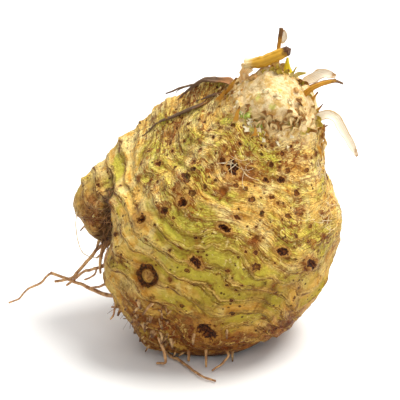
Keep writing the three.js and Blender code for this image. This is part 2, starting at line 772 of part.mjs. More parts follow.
function rootSolid() {
  const grown = [...rootlets(), ...stubs(), ...scales(), ...strips()];
  let root = grown.reduce((whole, geometry) => whole.add(solid(geometry)), solid(bodyGeometry()));
  for (const cut of [...SCARS.map(bowl), ...pits(), ringGroove()]) root = root.subtract(solid(cut));
  for (const stalk of LEAF_STALKS) root = root.subtract(stalkSolid(stalk, SOCKET_GAP));
  for (let i = 0; i < 2; i++) root = solid(geometryFrom(largestOf(root)), 1e-3);
  return largestOf(root);
}

function largestOf(made) {
  const larger = (a, b) => (b.volume() > a.volume() ? b : a);
  return made.decompose().reduce(larger);
}

function part(name, made, color, roughness) {
  const material = new THREE.MeshStandardMaterial({ color, roughness, metalness: 0 });
  const mesh = new THREE.Mesh(geometryFrom(made), material);
  mesh.name = name;
  return mesh;
}

const root = rootSolid();
const celeriac = new THREE.Group();
celeriac.add(part("celeriac_root", root, ROOT_COLOR, 0.75));
for (const stalk of LEAF_STALKS) {
  const made = stalkSolid(stalk, 0);
  celeriac.add(part(stalk.name, made, stalk.color, 0.6));
}

export default celeriac;
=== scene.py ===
"""A celeriac root with its looks: folds, pits and scars, torn leaf bases, dry leaf stalks and rootlets.

Lengths are millimetres until a mesh is made, in the frame of the CAD model: +Z up, +X right, +Y away from
the camera, and the origin in the middle of the flat spot that the root rests on.
"""
import math
from types import SimpleNamespace

import bpy
import numpy as np
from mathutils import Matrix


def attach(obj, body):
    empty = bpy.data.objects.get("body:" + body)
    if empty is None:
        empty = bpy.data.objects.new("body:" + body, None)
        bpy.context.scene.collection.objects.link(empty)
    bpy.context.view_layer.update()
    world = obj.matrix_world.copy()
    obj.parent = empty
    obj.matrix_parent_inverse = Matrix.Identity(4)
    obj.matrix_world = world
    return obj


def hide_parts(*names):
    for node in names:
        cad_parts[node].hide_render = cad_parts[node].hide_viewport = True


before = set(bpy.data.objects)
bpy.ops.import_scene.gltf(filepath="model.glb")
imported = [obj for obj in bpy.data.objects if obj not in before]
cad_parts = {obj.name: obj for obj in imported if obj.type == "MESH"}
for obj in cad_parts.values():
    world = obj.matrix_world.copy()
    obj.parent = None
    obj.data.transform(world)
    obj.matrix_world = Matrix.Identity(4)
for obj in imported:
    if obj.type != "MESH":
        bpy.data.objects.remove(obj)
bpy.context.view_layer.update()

MM = 0.001
SEED = 20
ROOT_ROWS, ROOT_COLUMNS = 312, 316

# The photograph's camera: a pixel's size at the target, the angle down, and how far off it stands.
PIXEL_MM = 0.44
IMAGE_HALF = 200
CAMERA_DOWN = math.radians(22)
CAMERA_AWAY = 700.0
CAMERA_TARGET = np.array([-5.7, 0.0, 66.4])
SENSOR_MM = 36.0
FLOOR_HALF_M = 6.0
LIGHTS_AIM_M = np.array([0, 0, 0.05])
WORLD_LIGHT = 0.52

# The smooth body, as in the CAD model: melted ellipsoids, each with its middle, half-sizes and melt width.
HEART = np.array([0.0, 0.0, 52.0])
CROWN = np.array([27.5, -4.0, 110.5])
SWELLINGS = [
    ("bulb", (5, 2, 51), (47, 48, 49), 0),
    ("front", (-21, -14, 43), (25, 26, 27), 10),
    ("underside left", (-10.5, -4, 22.5), (29.3, 30, 25.5), 10),
    ("underside right", (4, -2, 23.5), (27, 29, 26), 10),
    ("shoulder", (-17.2, 9, 78.4), (30.8, 30.8, 30.6), 12),
    ("top", (0.5, 3, 91.2), (29, 29, 28), 12),
    ("right", (32, 4, 56), (21.2, 26, 27), 14),
    ("low right", (19.5, 2, 32), (25, 29, 24), 12),
    ("collar", (26, -2, 92.5), (21, 22, 20), 14),
    ("neck", tuple(CROWN), (17, 17, 19), 7),
    ("side lobe top", (-42.5, 14, 70.7), (15, 17, 14), 9),
    ("side lobe", (-45.5, 16, 58.5), (16, 18, 19), 5),
    ("back", (-6, 26, 43.5), (34, 24, 34), 12),
    ("back right", (23, 24, 37), (24, 22, 26), 8),
]
CUT_MELT = 1.6
CUTS = [
    ((0.22, -0.42, 0.88), 14.2),
    ((0.72, -0.45, 0.53), 12.6),
    ((-0.62, -0.3, 0.72), 15.2),
    ((0.3, 0.6, 0.74), 14.4),
]

# The folds, as in the CAD model.
RING_RADIUS = 55.0
FOLD_AT_CROWN = 3.4
FOLD_GROWTH = 0.062
FOLD_LIP = 0.74
FOLD_HEIGHT_SHARE = 0.15
FOLDS_START = 30.0
FOOT_FADE = 9.0
FOLD_WAVES = [
    ((0.112, 0.034, 0.021), 0.4, 0.52),
    ((-0.061, 0.142, 0.087), 2.1, 0.34),
    ((0.173, -0.081, -0.118), 4.4, 0.26),
    ((0.055, 0.212, -0.164), 1.2, 0.14),
]
FOLD_PATCHES = [((0.09, -0.11, 0.07), 0.8, 0.35)]
LUMP_WAVES = [
    ((0.21, 0.09, 0.15), 1.0, 0.6),
    ((-0.12, 0.24, 0.1), 3.3, 0.5),
    ((0.08, -0.14, 0.27), 5.1, 0.5),
]
CLEFT = [(-46.5, 5, 76), (-46, -3, 69), (-46.8, -5, 62), (-47.8, -3, 54), (-48.4, 1, 45), (-47.8, 5, 36)]
CLEFT_DEEP = 2.6
CLEFT_HALF = 3.2

# Large scars: middle, radius, depth. The first is a sunken ring round a level middle.
RING_SCAR = ((-28, -39, 47.5), 5.2)
SCARS = [
    ((-30, -27.5, 69), 3.4, 1.6),
    ((4.5, -41.5, 70.5), 2.8, 1.5),
    ((28.5, -38.5, 59), 3.0, 1.6),
    ((-13, -33, 79), 3.4, 1.5),
    ((8, -28, 92), 4.2, 1.3),
    ((-7.5, -44, 56.5), 3.6, 1.7),
    ((-3, -37, 21), 6.5, 2.4),
    ((40.5, -30, 50), 3.8, 1.6),
    ((51, 12, 62), 3.6, 1.6),
    ((22, 46, 60), 4.4, 1.8),
    ((-18, 46, 66), 3.4, 1.6),
    ((-2, 50, 36), 5.0, 2.0),
    ((-52, 24, 47), 3.6, 1.6),
    ((38, 34, 30), 4.0, 1.8),
]

SCAR_SHARE = 0.78  # how much of a scar's hollow in the CAD model is bare scar
SCAR_FLATTEST = 2.0  # how much longer than high a scar can be

# Small pits where the photograph shows them: x, y and radius in its pixels.
PITS_SEEN_PIXELS = [
    (167, 134, 3.2), (170, 143, 2.6), (172, 151, 2.0), (160, 165, 3.2), (174, 167, 2.8), (139, 179, 3.6),
    (157, 182, 2.0), (187, 178, 4.4), (194, 163, 3.2), (202, 151, 1.8), (210, 156, 2.4), (223, 162, 3.4),
    (251, 171, 4.0), (212, 170, 2.4), (205, 187, 2.4), (192, 193, 3.4), (175, 190, 2.0), (164, 210, 3.4),
    (138, 206, 3.2), (117, 234, 2.6), (170, 280, 2.0), (210, 287, 3.2), (223, 192, 4.6), (236, 186, 2.6),
    (251, 200, 2.8), (238, 218, 2.8), (224, 229, 3.8), (261, 214, 2.8), (256, 240, 4.2), (256, 266, 4.0),
    (273, 286, 4.0), (296, 193, 2.8), (288, 216, 3.4), (302, 214, 2.4), (313, 226, 2.6), (324, 237, 2.8),
    (304, 266, 4.0), (299, 168, 2.0), (288, 170, 2.0), (306, 170, 2.4), (282, 154, 2.0), (262, 154, 1.8),
    (272, 145, 1.8), (291, 146, 1.8), (306, 156, 2.2), (316, 154, 2.2), (266, 180, 3.0), (280, 180, 3.0),
    (258, 164, 2.6), (248, 154, 1.8), (240, 144, 1.8), (270, 198, 2.6), (184, 141, 1.8), (190, 126, 2.0),
    (182, 118, 1.8), (176, 128, 1.8), (214, 138, 1.8), (230, 137, 1.8), (226, 148, 1.8), (150, 152, 2.2),
    (142, 164, 2.0), (196, 238, 1.6), (246, 252, 2.0), (182, 306, 2.6), (232, 312, 2.4), (262, 318, 2.2),
    (92, 196, 2.6), (86, 208, 2.2), (99, 186, 2.4), (95, 222, 2.0), (88, 178, 1.8), (296, 236, 2.0),
]
PITS_HIDDEN = 70  # more of them on the sides that the photograph doesn't show
PITS_SMALL = 130  # and tiny ones all round the upper half
PIT_DEPTH_SHARE = 0.42
PIT_FLATTEST = 1.6
PIT_TRIES = 4000

# Where the skin is torn by cut roots, and where the lobe is browner: middle and reach.
TORN_PATCH = ((-26, -33, 24), 12)
BROWN_LOBE = ((-50, 12, 56), 19)

# Colour patches on the side that the photograph shows: x, y and radius in its pixels, and strength.
GREEN_SEEN_PIXELS = [
    (192, 221, 20, 1.0), (196, 254, 20, 0.9), (232, 250, 22, 0.8), (226, 282, 24, 0.75), (262, 262, 20, 0.6),
    (200, 300, 18, 0.6), (270, 300, 20, 0.5), (312, 232, 14, 0.9), (290, 240, 14, 0.8), (320, 255, 14, 0.7),
    (150, 148, 12, 0.9), (180, 160, 10, 0.5), (244, 112, 8, 1.2), (256, 122, 7, 0.9), (250, 140, 12, 0.5),
    (268, 168, 10, 0.6), (300, 185, 10, 0.5), (120, 160, 8, 0.8), (228, 198, 12, 0.5), (206, 214, 10, 0.5),
    (258, 97, 4, 1.0), (273, 106, 4, 1.0), (279, 90, 4, 0.9), (292, 125, 6, 0.8), (228, 118, 6, 0.9),
    (235, 101, 5, 0.7),
    (186, 104, 8, 0.5), (280, 150, 10, 0.3), (164, 232, 12, 0.6), (178, 325, 16, 0.3), (240, 322, 16, 0.3),
]
RUSSET_SEEN_PIXELS = [
    (190, 96, 14, 0.9), (210, 92, 12, 0.9), (170, 132, 16, 0.6), (176, 120, 12, 0.5), (86, 200, 18, 0.7),
    (96, 220, 18, 0.9), (112, 205, 12, 0.7), (150, 320, 22, 0.9), (190, 330, 22, 0.7), (130, 300, 18, 0.6),
    (232, 168, 14, 0.9), (215, 195, 12, 0.6), (190, 205, 12, 0.5), (176, 196, 12, 0.5), (250, 176, 12, 0.7),
    (300, 170, 12, 0.7), (290, 160, 12, 0.6), (270, 138, 12, 0.6), (230, 138, 14, 0.6), (300, 215, 12, 0.6),
    (330, 200, 8, 0.6), (326, 215, 8, 0.6), (310, 262, 12, 0.8), (276, 330, 16, 0.7), (230, 345, 20, 0.7),
    (290, 316, 14, 0.7), (120, 262, 12, 0.5), (112, 240, 10, 0.6), (125, 225, 10, 0.5), (150, 185, 12, 0.45),
    (256, 240, 8, 0.6), (196, 176, 12, 0.5), (140, 345, 14, 0.6), (210, 352, 20, 0.8), (160, 210, 8, 0.4),
]

# The two dried strips of leaf base along the shoulder, as in the CAD model.
UPPER_STRIP = [
    (10.6, 2.3, 118.7), (6.4, 7.4, 117.7), (1.3, 13.2, 116.1), (-3.1, 17.4, 114.1),
    (-10.1, 21.1, 109.6), (-18.1, 22, 103),
]
LOWER_STRIP = [
    (0.4, 6.2, 112.4), (-5, 6, 108.8), (-9.2, 8.7, 105.9), (-13.6, 11.2, 102.5),
    (-18.6, 13.6, 99.5), (-25, 17.2, 95.5), (-28.8, 17.3, 91.8), (-33, 16.8, 88),
]
TWIG = [(-3.1, 17.4, 112.4), (-7, 20, 113.2), (-13.6, 20, 111.8), (-20.9, 20, 109)]
TWIG_FORK = [(-13, 20, 111.8), (-15, 20, 110.8), (-16.4, 20, 109.4)]

# One long pale hair that hangs in a loop from the lobe.
SIDE_LOOP = [
    (-52, 10, 60), (-59.6, 11, 58.5), (-61.2, 8, 54), (-60.6, 6, 45),
    (-58.5, 7, 38), (-54.5, 8.5, 35), (-50, 9, 35),
]

# Dark bruised spots on the side that the photograph shows: x, y and radius in its pixels, and strength.
BRUISES_SEEN_PIXELS = [
    (181, 203, 7, 0.9), (223, 192, 6, 0.8), (236, 168, 11, 0.75), (170, 280, 4, 0.8), (256, 240, 5, 0.7),
    (112, 215, 8, 0.7), (105, 190, 7, 0.7), (120, 262, 6, 0.6), (150, 300, 9, 0.7), (165, 322, 9, 0.7),
    (196, 331, 8, 0.7), (188, 101, 6, 0.7), (212, 98, 6, 0.6), (164, 210, 4, 0.6), (198, 261, 7, 0.8),
    (96, 232, 8, 0.7), (170, 134, 6, 0.6), (300, 262, 6, 0.6), (318, 250, 5, 0.6), (288, 190, 6, 0.5),
    (138, 280, 5, 0.4), (180, 150, 6, 0.45), (205, 188, 6, 0.5), (232, 345, 8, 0.6), (268, 135, 6, 0.5),
    (298, 133, 6, 0.6), (276, 122, 5, 0.5), (226, 232, 5, 0.5), (262, 284, 7, 0.6), (146, 240, 5, 0.4),
]

# Cut leaf bases in the crown: x and y in the photograph's pixels, half-sizes in millimetres, and a shade
# from 0 to 1, which picks green, brown or pale.
CUT_BASE_PIXELS = [
    (253, 78, 2.4, 1.6, 0.65), (299, 112, 2.4, 1.6, 0.65), (296, 90, 1.5, 1.0, 0.65),
    (245, 115, 2.9, 1.6, 0.1), (258, 125, 2.5, 1.3, 0.25), (278, 97, 2.2, 1.4, 0.9),
    (266, 91, 2.0, 1.3, 0.9), (290, 102, 2.2, 1.4, 0.9),
]
CROWN_FLAKES = 60

# The rows of leaf-base scales on the seen side: the row's points, how many scales, how long in the
# photograph's pixels, and half a scale's width in mm. Their tips point to the crown's middle.
CROWN_SEEN_PIXEL = (278, 88)
SCALE_ROWS_SEEN_PIXELS = [
    ([(252, 128), (264, 134), (282, 137), (300, 131), (312, 124)], 10, 12, 2.8),
    ([(242, 116), (254, 124), (268, 130), (284, 130), (300, 125), (311, 116)], 11, 14, 3.2),
    ([(262, 122), (274, 125), (288, 124), (300, 118), (309, 108)], 8, 11, 2.8),
    ([(231, 92), (234, 104), (240, 114)], 5, 9, 1.6),
]

# More rings of them behind the crown: arc from its middle, how many, how long and half a width, in mm.
SCALE_RINGS_BEHIND = [(18, 12, 7.0, 2.6), (22, 14, 7.5, 2.8), (26, 12, 6.0, 2.4)]

# Where the fringe of the crown stands, in the photograph's pixels.
FRINGE_PIXELS = [
    (264, 71), (272, 70), (277, 71), (281, 73), (286, 72), (290, 76), (294, 75), (299, 81), (302, 83),
    (307, 92), (311, 98), (313, 107), (314, 112), (315, 118), (314, 124), (311, 129), (306, 130), (299, 133),
]

# Patches of broken root stubs: middle, reach and how many. The rest are scattered over the lower part.
STUB_PATCHES = [((-27, -35, 27), 9, 26), ((-46, 0, 38), 8, 16), ((-24, -30, 14), 9, 16)]
STUBS_SCATTERED = 70

# Pale hairs in the photograph's pixels: middle and spread of x and y, how many, then which way in
# millimetres they lean and hang, and how long they are.
PALE_HAIRS_SEEN_PIXELS = [
    ((240, 6), (165, 4), 11, -0.7, -0.8, 9),
    ((322, 5), (182, 24), 26, -0.1, -0.5, 7),
]
DARK_HAIRS_BELOW = 90
DARK_HAIRS_IN_CLEFT = 60

# Rootlets: points in millimetres as in the CAD model, and half a thickness at the root and at the tip.
ROOTLETS = [
    ("cleft long", 1.0, 0.7, [
        (-44, 12, 42), (-52, 12, 38), (-54.5, 11, 34.5), (-61, 12, 27), (-65, 14, 22), (-72.5, 17, 19),
    ]),
    ("cleft short", 0.9, 0.6, [
        (-43, 5, 35), (-51.5, 6, 31), (-55.5, 8, 29), (-59.5, 10, 26.5), (-63.5, 12, 22), (-67, 14, 18.5),
    ]),
    ("trailing", 1.1, 0.75, [
        (-38, -2, 21), (-46, 0, 20), (-50, 3, 19.5), (-56, 7, 20.5), (-63.5, 12, 21.5), (-74.5, 18, 23),
    ]),
    ("trailing tip", 0.7, 0.45, [
        (-73, 17, 22.8), (-74.6, 18, 22.6), (-80.5, 22, 15.5),
        (-86, 25.5, 11.5), (-91, 29, 4.6), (-96, 30, 1.9),
    ]),
    ("under trailing", 0.8, 0.5, [
        (-40, -2, 29), (-46.5, -2, 27), (-50.5, 0, 24.5), (-56, 6.6, 20.6),
    ]),
    ("cleft hair", 0.6, 0.45, [
        (-41, 4, 38), (-51.5, 4, 32), (-53, 4, 29), (-55.5, 5, 26.5), (-58, 6, 25),
    ]),
    ("bundle outer", 1.3, 0.6, [(-44, 5, 47), (-49, 3.5, 41), (-50.5, 2, 35), (-50.5, 2, 30)]),
    ("bundle inner", 1.2, 0.6, [(-42, 0, 48), (-46.5, -1, 42), (-48, -1, 37), (-48, -1, 32)]),
    ("side hair", 0.6, 0.45, [
        (-36, -14, 26), (-42.5, -14, 24.5), (-43.5, -14, 20.5), (-44, -13, 17), (-45.5, -12, 14),
    ]),
    ("side twig", 0.6, 0.45, [(-34, -13, 22), (-40, -14, 21), (-45, -12, 20)]),
    ("foot hooked", 0.95, 0.6, [
        (-24, -24, 22), (-24.4, -30, 16.5), (-22.5, -32, 12),
        (-21, -33.5, 7.4), (-21, -32.5, 3.2), (-24.5, -29.5, 1.2),
    ]),
    ("foot long", 0.85, 0.5, [
        (-19, -12, 6), (-20, -20, 1.6), (-15, -27, 1.5),
        (-10, -34.8, 1.6), (-4, -42.6, 1.4), (1, -45.6, 1.1),
    ]),
    ("foot stub", 0.85, 0.7, [(-11, -21, 14), (-10.7, -26, 8.4), (-10.7, -27.4, 1.2)]),
    ("foot spur", 0.8, 0.5, [(-2, -24, 12), (-3.1, -31, 6.5), (-3, -33.5, 1.3)]),
    ("foot curl", 0.75, 0.45, [
        (3, -22, 12), (6, -29, 7.2), (6.8, -31, 6), (4.6, -33, 3.8), (-0.5, -36.5, 1.2),
    ]),
    ("back left", 1.1, 0.6, [
        (-24, 34, 16), (-32, 42, 11), (-38, 47, 7), (-46, 50, 4.5), (-52, 56, 1.6),
    ]),
    ("back low", 0.95, 0.5, [(-8, 38, 14), (-11, 47, 9), (-9, 53, 4), (-14, 60, 1.4)]),
    ("back right", 0.9, 0.5, [(13, 26, 18), (22, 45, 8.5), (29, 49, 3.6), (33, 56, 1.3)]),
    ("lobe under", 0.9, 0.5, [(-46, 20, 46), (-51, 24, 37), (-50, 27, 31), (-54, 30, 25)]),
]


def smooth(low, high, x):
    t = np.clip((x - low) / (high - low), 0, 1)
    return t * t * (3 - 2 * t)


def length(v):
    return np.sqrt((v * v).sum(-1))


def unit(v):
    return v / np.maximum(length(v), 1e-12)[..., None]


def waves(terms, p):
    return sum(height * np.sin(p @ np.array(across) + turn) for across, turn, height in terms)


def lattice(cell, seed):
    """A number from 0 to 1 for each whole-numbered cell, always the same."""
    i, j, k = (cell[..., axis].astype(np.int64) for axis in range(3))
    n = (i * 73856093) ^ (j * 19349663) ^ (k * 83492791) ^ (seed * 961748927)
    n = ((n ^ (n >> 13)) * 1274126177) & 0xFFFFFFFF
    return ((n ^ (n >> 16)) & 0xFFFFFF) / 0xFFFFFF


def noise(p, size, seed):
    """Smooth random heights from -1 to 1 over a length of about size."""
    q = p / size
    cell = np.floor(q)
    part = q - cell
    part = part * part * (3 - 2 * part)
    total = 0
    for corner in np.ndindex(2, 2, 2):
        weight = 1
        for axis, side in enumerate(corner):
            weight = weight * (part[..., axis] if side else 1 - part[..., axis])
        total = total + weight * lattice(cell + np.array(corner), seed)
    return 2 * total - 1


def fractal(p, size, octaves, seed):
    return sum(noise(p, size / 2**k, seed + k) / 2**k for k in range(octaves))


def ellipsoid(p, middle, half):
    q = (p - middle) / half
    scaled = length(q)
    return scaled * (scaled - 1) / np.maximum(length(q / half), 1e-9)


def melt(a, b, width):
    share = np.clip(0.5 + 0.5 * (b - a) / width, 0, 1)
    return b * (1 - share) + a * share - width * share * (1 - share)


def body(p):
    """Distance from the smooth body, below zero inside."""
    whole = None
    for _, middle, half, width in SWELLINGS:
        one = ellipsoid(p, np.array(middle, float), np.array(half, float))
        whole = one if whole is None else melt(whole, one, width)
    for normal, away in CUTS:
        cut = (p - CROWN) @ unit(np.array(normal)) - away
        whole = -melt(-whole, -cut, CUT_MELT)
    return whole


def outward(p):
    step = 0.05 * np.eye(3)
    return unit(np.stack([body(p + step[k]) - body(p - step[k]) for k in range(3)], -1))


def onto_body(p):
    """The points of the smooth body near p, and its normals there."""
    q = np.array(p, float)
    for _ in range(10):
        q = q - outward(q) * body(q)[..., None]
    return q, outward(q)


AXIS = unit(CROWN - HEART)
ACROSS = unit(np.cross(AXIS, [0, 1, 0]))
FACING = np.cross(AXIS, ACROSS)


def arc_from_crown(p):
    return RING_RADIUS * np.arccos(np.clip(unit(p - HEART) @ AXIS, -1, 1))


def fold_count(p):
    arc = arc_from_crown(p)
    waving = (0.4 + 0.6 * smooth(25, 85, arc)) * (1 - 0.45 * smooth(5, 35, p[..., 1]))
    plain = np.log(1 + FOLD_GROWTH * arc / FOLD_AT_CROWN) / FOLD_GROWTH + waving * waves(FOLD_WAVES, p)
    return plain + 0.42 * fractal(p, 17, 2, 3) + 0.1 * noise(p, 3.5, 6)


def fold_height(p, count):
    """Smooth swellings that end in bundles of thin raised lips, of uneven height."""
    arc = arc_from_crown(p)
    part = count - np.floor(count)
    profile = np.where(part < FOLD_LIP, smooth(0, FOLD_LIP, part), 1 - smooth(FOLD_LIP, 1, part))
    spacing = FOLD_AT_CROWN + FOLD_GROWTH * arc
    uneven = smooth(-0.7, 0.6, fractal(p, 15, 2, 9)) * (0.55 + 0.45 * smooth(48, 92, arc))
    share = FOLD_HEIGHT_SHARE * (1 + waves(FOLD_PATCHES, p)) * (0.12 + 0.85 * uneven)
    starts = smooth(FOLDS_START - 14, FOLDS_START, arc)
    lip = 0.6 * np.exp(-(((part - FOLD_LIP) / 0.05) ** 2)) * smooth(-0.1, 0.6, fractal(p, 12, 2, 14))
    lip = lip + 0.4 * np.exp(-(((part - 0.6) / 0.04) ** 2)) * smooth(0, 0.5, fractal(p, 12, 2, 17))
    lip = lip + 0.4 * np.exp(-(((part - 0.87) / 0.04) ** 2)) * smooth(0, 0.5, fractal(p, 12, 2, 19))
    medium = np.abs((2.6 * count + 0.6 * noise(p, 9, 5)) % 1 - 0.5) * (0.6 + 0.8 * noise(p, 10, 15))
    small = np.abs((6.3 * count + 0.8 * noise(p, 5, 25)) % 1 - 0.5) * (0.4 + 0.4 * noise(p, 7, 35))
    ridged = 1 - 0.85 * smooth(45, 70, arc) * smooth(0.02, 0.1, part) * smooth(0.56, 0.42, part)
    swelling = spacing * share * (profile - 0.5)
    return starts * (swelling + (0.3 + 0.7 * uneven) * lip + (medium + small) * ridged)


def cleft_nearness(p):
    points = np.array(CLEFT, float)
    nearest = np.full(p.shape[:-1], 1e9)
    for a, b in zip(points[:-1], points[1:]):
        share = np.clip(((p - a) @ (b - a)) / ((b - a) @ (b - a)), 0, 1)
        nearest = np.minimum(nearest, length(p - a - share[..., None] * (b - a)))
    return nearest


def camera_axes():
    look = np.array([0, math.cos(CAMERA_DOWN), -math.sin(CAMERA_DOWN)])
    up = np.array([0, math.sin(CAMERA_DOWN), math.cos(CAMERA_DOWN)])
    return CAMERA_TARGET - look * CAMERA_AWAY, look, up


def seen_at(pixels):
    """Where the camera's rays through these pixels of the photograph meet the smooth body."""
    eye, look, up = camera_axes()
    focal = CAMERA_AWAY / PIXEL_MM
    x = (np.array(pixels, float)[:, 0] - IMAGE_HALF) / focal
    y = (IMAGE_HALF - np.array(pixels, float)[:, 1]) / focal
    way = unit(look + x[:, None] * np.array([1.0, 0, 0]) + y[:, None] * up)
    t = np.full(len(x), CAMERA_AWAY - 130)
    for _ in range(80):
        t = t + 0.7 * np.clip(body(eye + way * t[:, None]), -3, 3)
    return eye + way * t[:, None]


def ray(along, turn):
    tilt = math.pi * (along - 0.5)
    start = HEART + smooth(0.45, 0.95, along)[..., None] * (CROWN - HEART)
    round_about = np.cos(turn)[..., None] * ACROSS + np.sin(turn)[..., None] * FACING
    return start, np.cos(tilt)[..., None] * round_about + np.sin(tilt)[..., None] * AXIS


def skin_of(along, turn):
    """Points of the smooth body on rays from its core, cut off at the floor."""
    start, way = ray(along, turn)
    t = np.full(along.shape, 95.0)
    for _ in range(34):
        t = t - 0.85 * np.clip(body(start + way * t[..., None]), -1, 30)
    floor = np.where(way[..., 2] < -1e-6, -start[..., 2] / np.minimum(way[..., 2], -1e-6), 1e9)
    return start + way * np.minimum(t, floor)[..., None]


def row_places(rows):
    """Where the rows of points lie along the root, closer together where the folds are narrow."""
    fine = np.linspace(0, 1, 241)
    turns = np.arange(6) * math.pi / 3
    points = skin_of(*np.broadcast_arrays(fine[:, None], turns[None, :]))
    spacing = FOLD_AT_CROWN + FOLD_GROWTH * arc_from_crown(points[1:])
    steps = length(np.diff(points, axis=0)) / np.sqrt(spacing)
    lengths = np.concatenate([[0], np.cumsum(steps.sum(1))])
    return np.interp(lengths[-1] * np.arange(1, rows) / rows, lengths, fine)


def anywhere_on(rng, low, high, count):
    """Random points of the smooth body between two shares of the way from its foot to its crown."""
    return skin_of(rng.uniform(low, high, count), rng.uniform(0, 2 * math.pi, count))


def pits_of_root():
    """Every small pit: middle, radius, and a number from 0 to 1 of its own."""
    rng = np.random.default_rng(SEED)
    pixels = np.array(PITS_SEEN_PIXELS, float)
    middles = list(seen_at(pixels))
    radii = list(pixels[:, 2] * PIXEL_MM)
    eye, _, _ = camera_axes()
    draws = [
        (PITS_HIDDEN, (0.2, 0.76), 6.5, (0.8, 2.1), True),
        (PITS_SMALL, (0.45, 0.84), 3.4, (0.45, 0.95), False),
    ]
    for count, reach, apart, sizes, hidden_only in draws:
        tries = anywhere_on(rng, *reach, PIT_TRIES)
        hidden = ((eye - tries) * outward(tries)).sum(-1) < 0
        wanted = len(middles) + count
        for p, out_of_sight in zip(tries, hidden):
            if len(middles) >= wanted:
                break
            if (out_of_sight or not hidden_only) and p[2] > 9 and min(length(np.array(middles) - p)) > apart:
                middles.append(p)
                radii.append(rng.uniform(*sizes))
    return np.array(middles), np.array(radii), rng.uniform(0, 1, len(middles))


PITS = pits_of_root()


def nearest_mark(p, middles, radii, flattest):
    """The distance to the nearest mark, in units of its radius, and which mark it is.

    Marks are flattened by a random amount up to flattest, so that most are widest along the folds.
    """
    rng = np.random.default_rng(SEED + 8)
    best = np.full(p.shape[:-1], 9.0)
    which = np.zeros(p.shape[:-1], int)
    wobble = 1 + 0.24 * noise(p, 2.6, 21) + 0.16 * noise(p, 1.4, 23)
    for k, (middle, radius) in enumerate(zip(middles, radii)):
        middle = np.array(middle, float)
        way = unit(middle - HEART)
        across = unit(AXIS - (AXIS @ way) * way) + rng.normal(0, 0.22, 3)
        apart = p - middle
        flat = rng.uniform(1, flattest)
        stretched = np.sqrt((apart**2).sum(-1) + (flat**2 - 1) * (apart @ unit(across)) ** 2)
        off = stretched / (radius * math.sqrt(flat)) * wobble
        which = np.where(off < best, k, which)
        best = np.minimum(best, off)
    return best, which


def bowl(off, deep, rim):
    return -deep * (1 - smooth(0.2, 1.0, off)) + rim * np.exp(-(((off - 1.15) / 0.28) ** 2))


def blobs(p, patches):
    """The sum of soft round patches, each given by its photograph pixel, radius and strength."""
    total = np.zeros(p.shape[:-1])
    for middle, (_, _, radius, strength) in zip(seen_at(patches), patches):
        total = total + strength * np.exp(-((length(p - middle) / (radius * PIXEL_MM)) ** 2))
    return total


def front_heavy_turns(columns):
    """Turns round the axis, closer together on the side that faces the camera."""
    turn = 2 * math.pi * np.arange(columns) / columns
    facing = math.atan2(-FACING[1], -ACROSS[1])
    return turn - 0.38 * np.sin(turn - facing)


def marks_near(p):
    """How far each point is from pits, scars, the ring scar and the cleft, and what the nearest are like."""
    pit, which_pit = nearest_mark(p, PITS[0], PITS[1], PIT_FLATTEST)
    scar_radii = [SCAR_SHARE * radius for _, radius, _ in SCARS]
    scar, which_scar = nearest_mark(p, [middle for middle, _, _ in SCARS], scar_radii, SCAR_FLATTEST)
    torn = np.exp(-((length(p - np.array(TORN_PATCH[0])) / TORN_PATCH[1]) ** 2))
    return SimpleNamespace(
        pit=pit,
        pit_radius=PITS[1][which_pit],
        pit_kind=PITS[2][which_pit],
        scar=scar,
        scar_depth=np.array([depth for _, _, depth in SCARS])[which_scar],
        ring=length(p - np.array(RING_SCAR[0])) / RING_SCAR[1] * (1 + 0.16 * fractal(p, 5, 2, 22)),
        cleft=cleft_nearness(p),
        torn=torn + 0.8 * smooth(16, 5, p[..., 2]),
    )


def relief(p, arc, count, near):
    """How far the finished surface stands off the smooth body."""
    below = smooth(16, 40, arc)
    calm = 1 - 0.6 * np.exp(-(near.pit**2)) - 0.7 * np.exp(-((near.ring / 1.2) ** 4))
    height = fold_height(p, count) * calm
    height = height + below * waves(LUMP_WAVES, p) - CLEFT_DEEP * np.exp(-((near.cleft / CLEFT_HALF) ** 2))
    pit_depth = PIT_DEPTH_SHARE * near.pit_radius * (0.4 + 0.6 * near.pit_kind)
    height = height + bowl(near.pit, pit_depth, 0.3) + bowl(near.scar, 0.8 * near.scar_depth, 0.5)
    groove = 1.4 * np.exp(-(((near.ring - 0.78) / 0.2) ** 2))
    height = height - groove + 0.6 * np.exp(-(((near.ring - 1.12) / 0.14) ** 2))
    height = height + below * (0.3 * fractal(p, 4.2, 3, 40) + 0.7 * noise(p, 13, 41) * smooth(60, 110, arc))
    rough = 0.75 * fractal(p, 7, 4, 44) + 0.6 * np.abs(noise(p, 3.2, 47)) - 0.2
    height = height + (1 - smooth(14, 27, arc)) * rough
    height = height + near.torn * (0.9 * np.abs(fractal(p, 5, 3, 50)) - 0.3)
    return height * smooth(0.4, FOOT_FADE, p[..., 2])


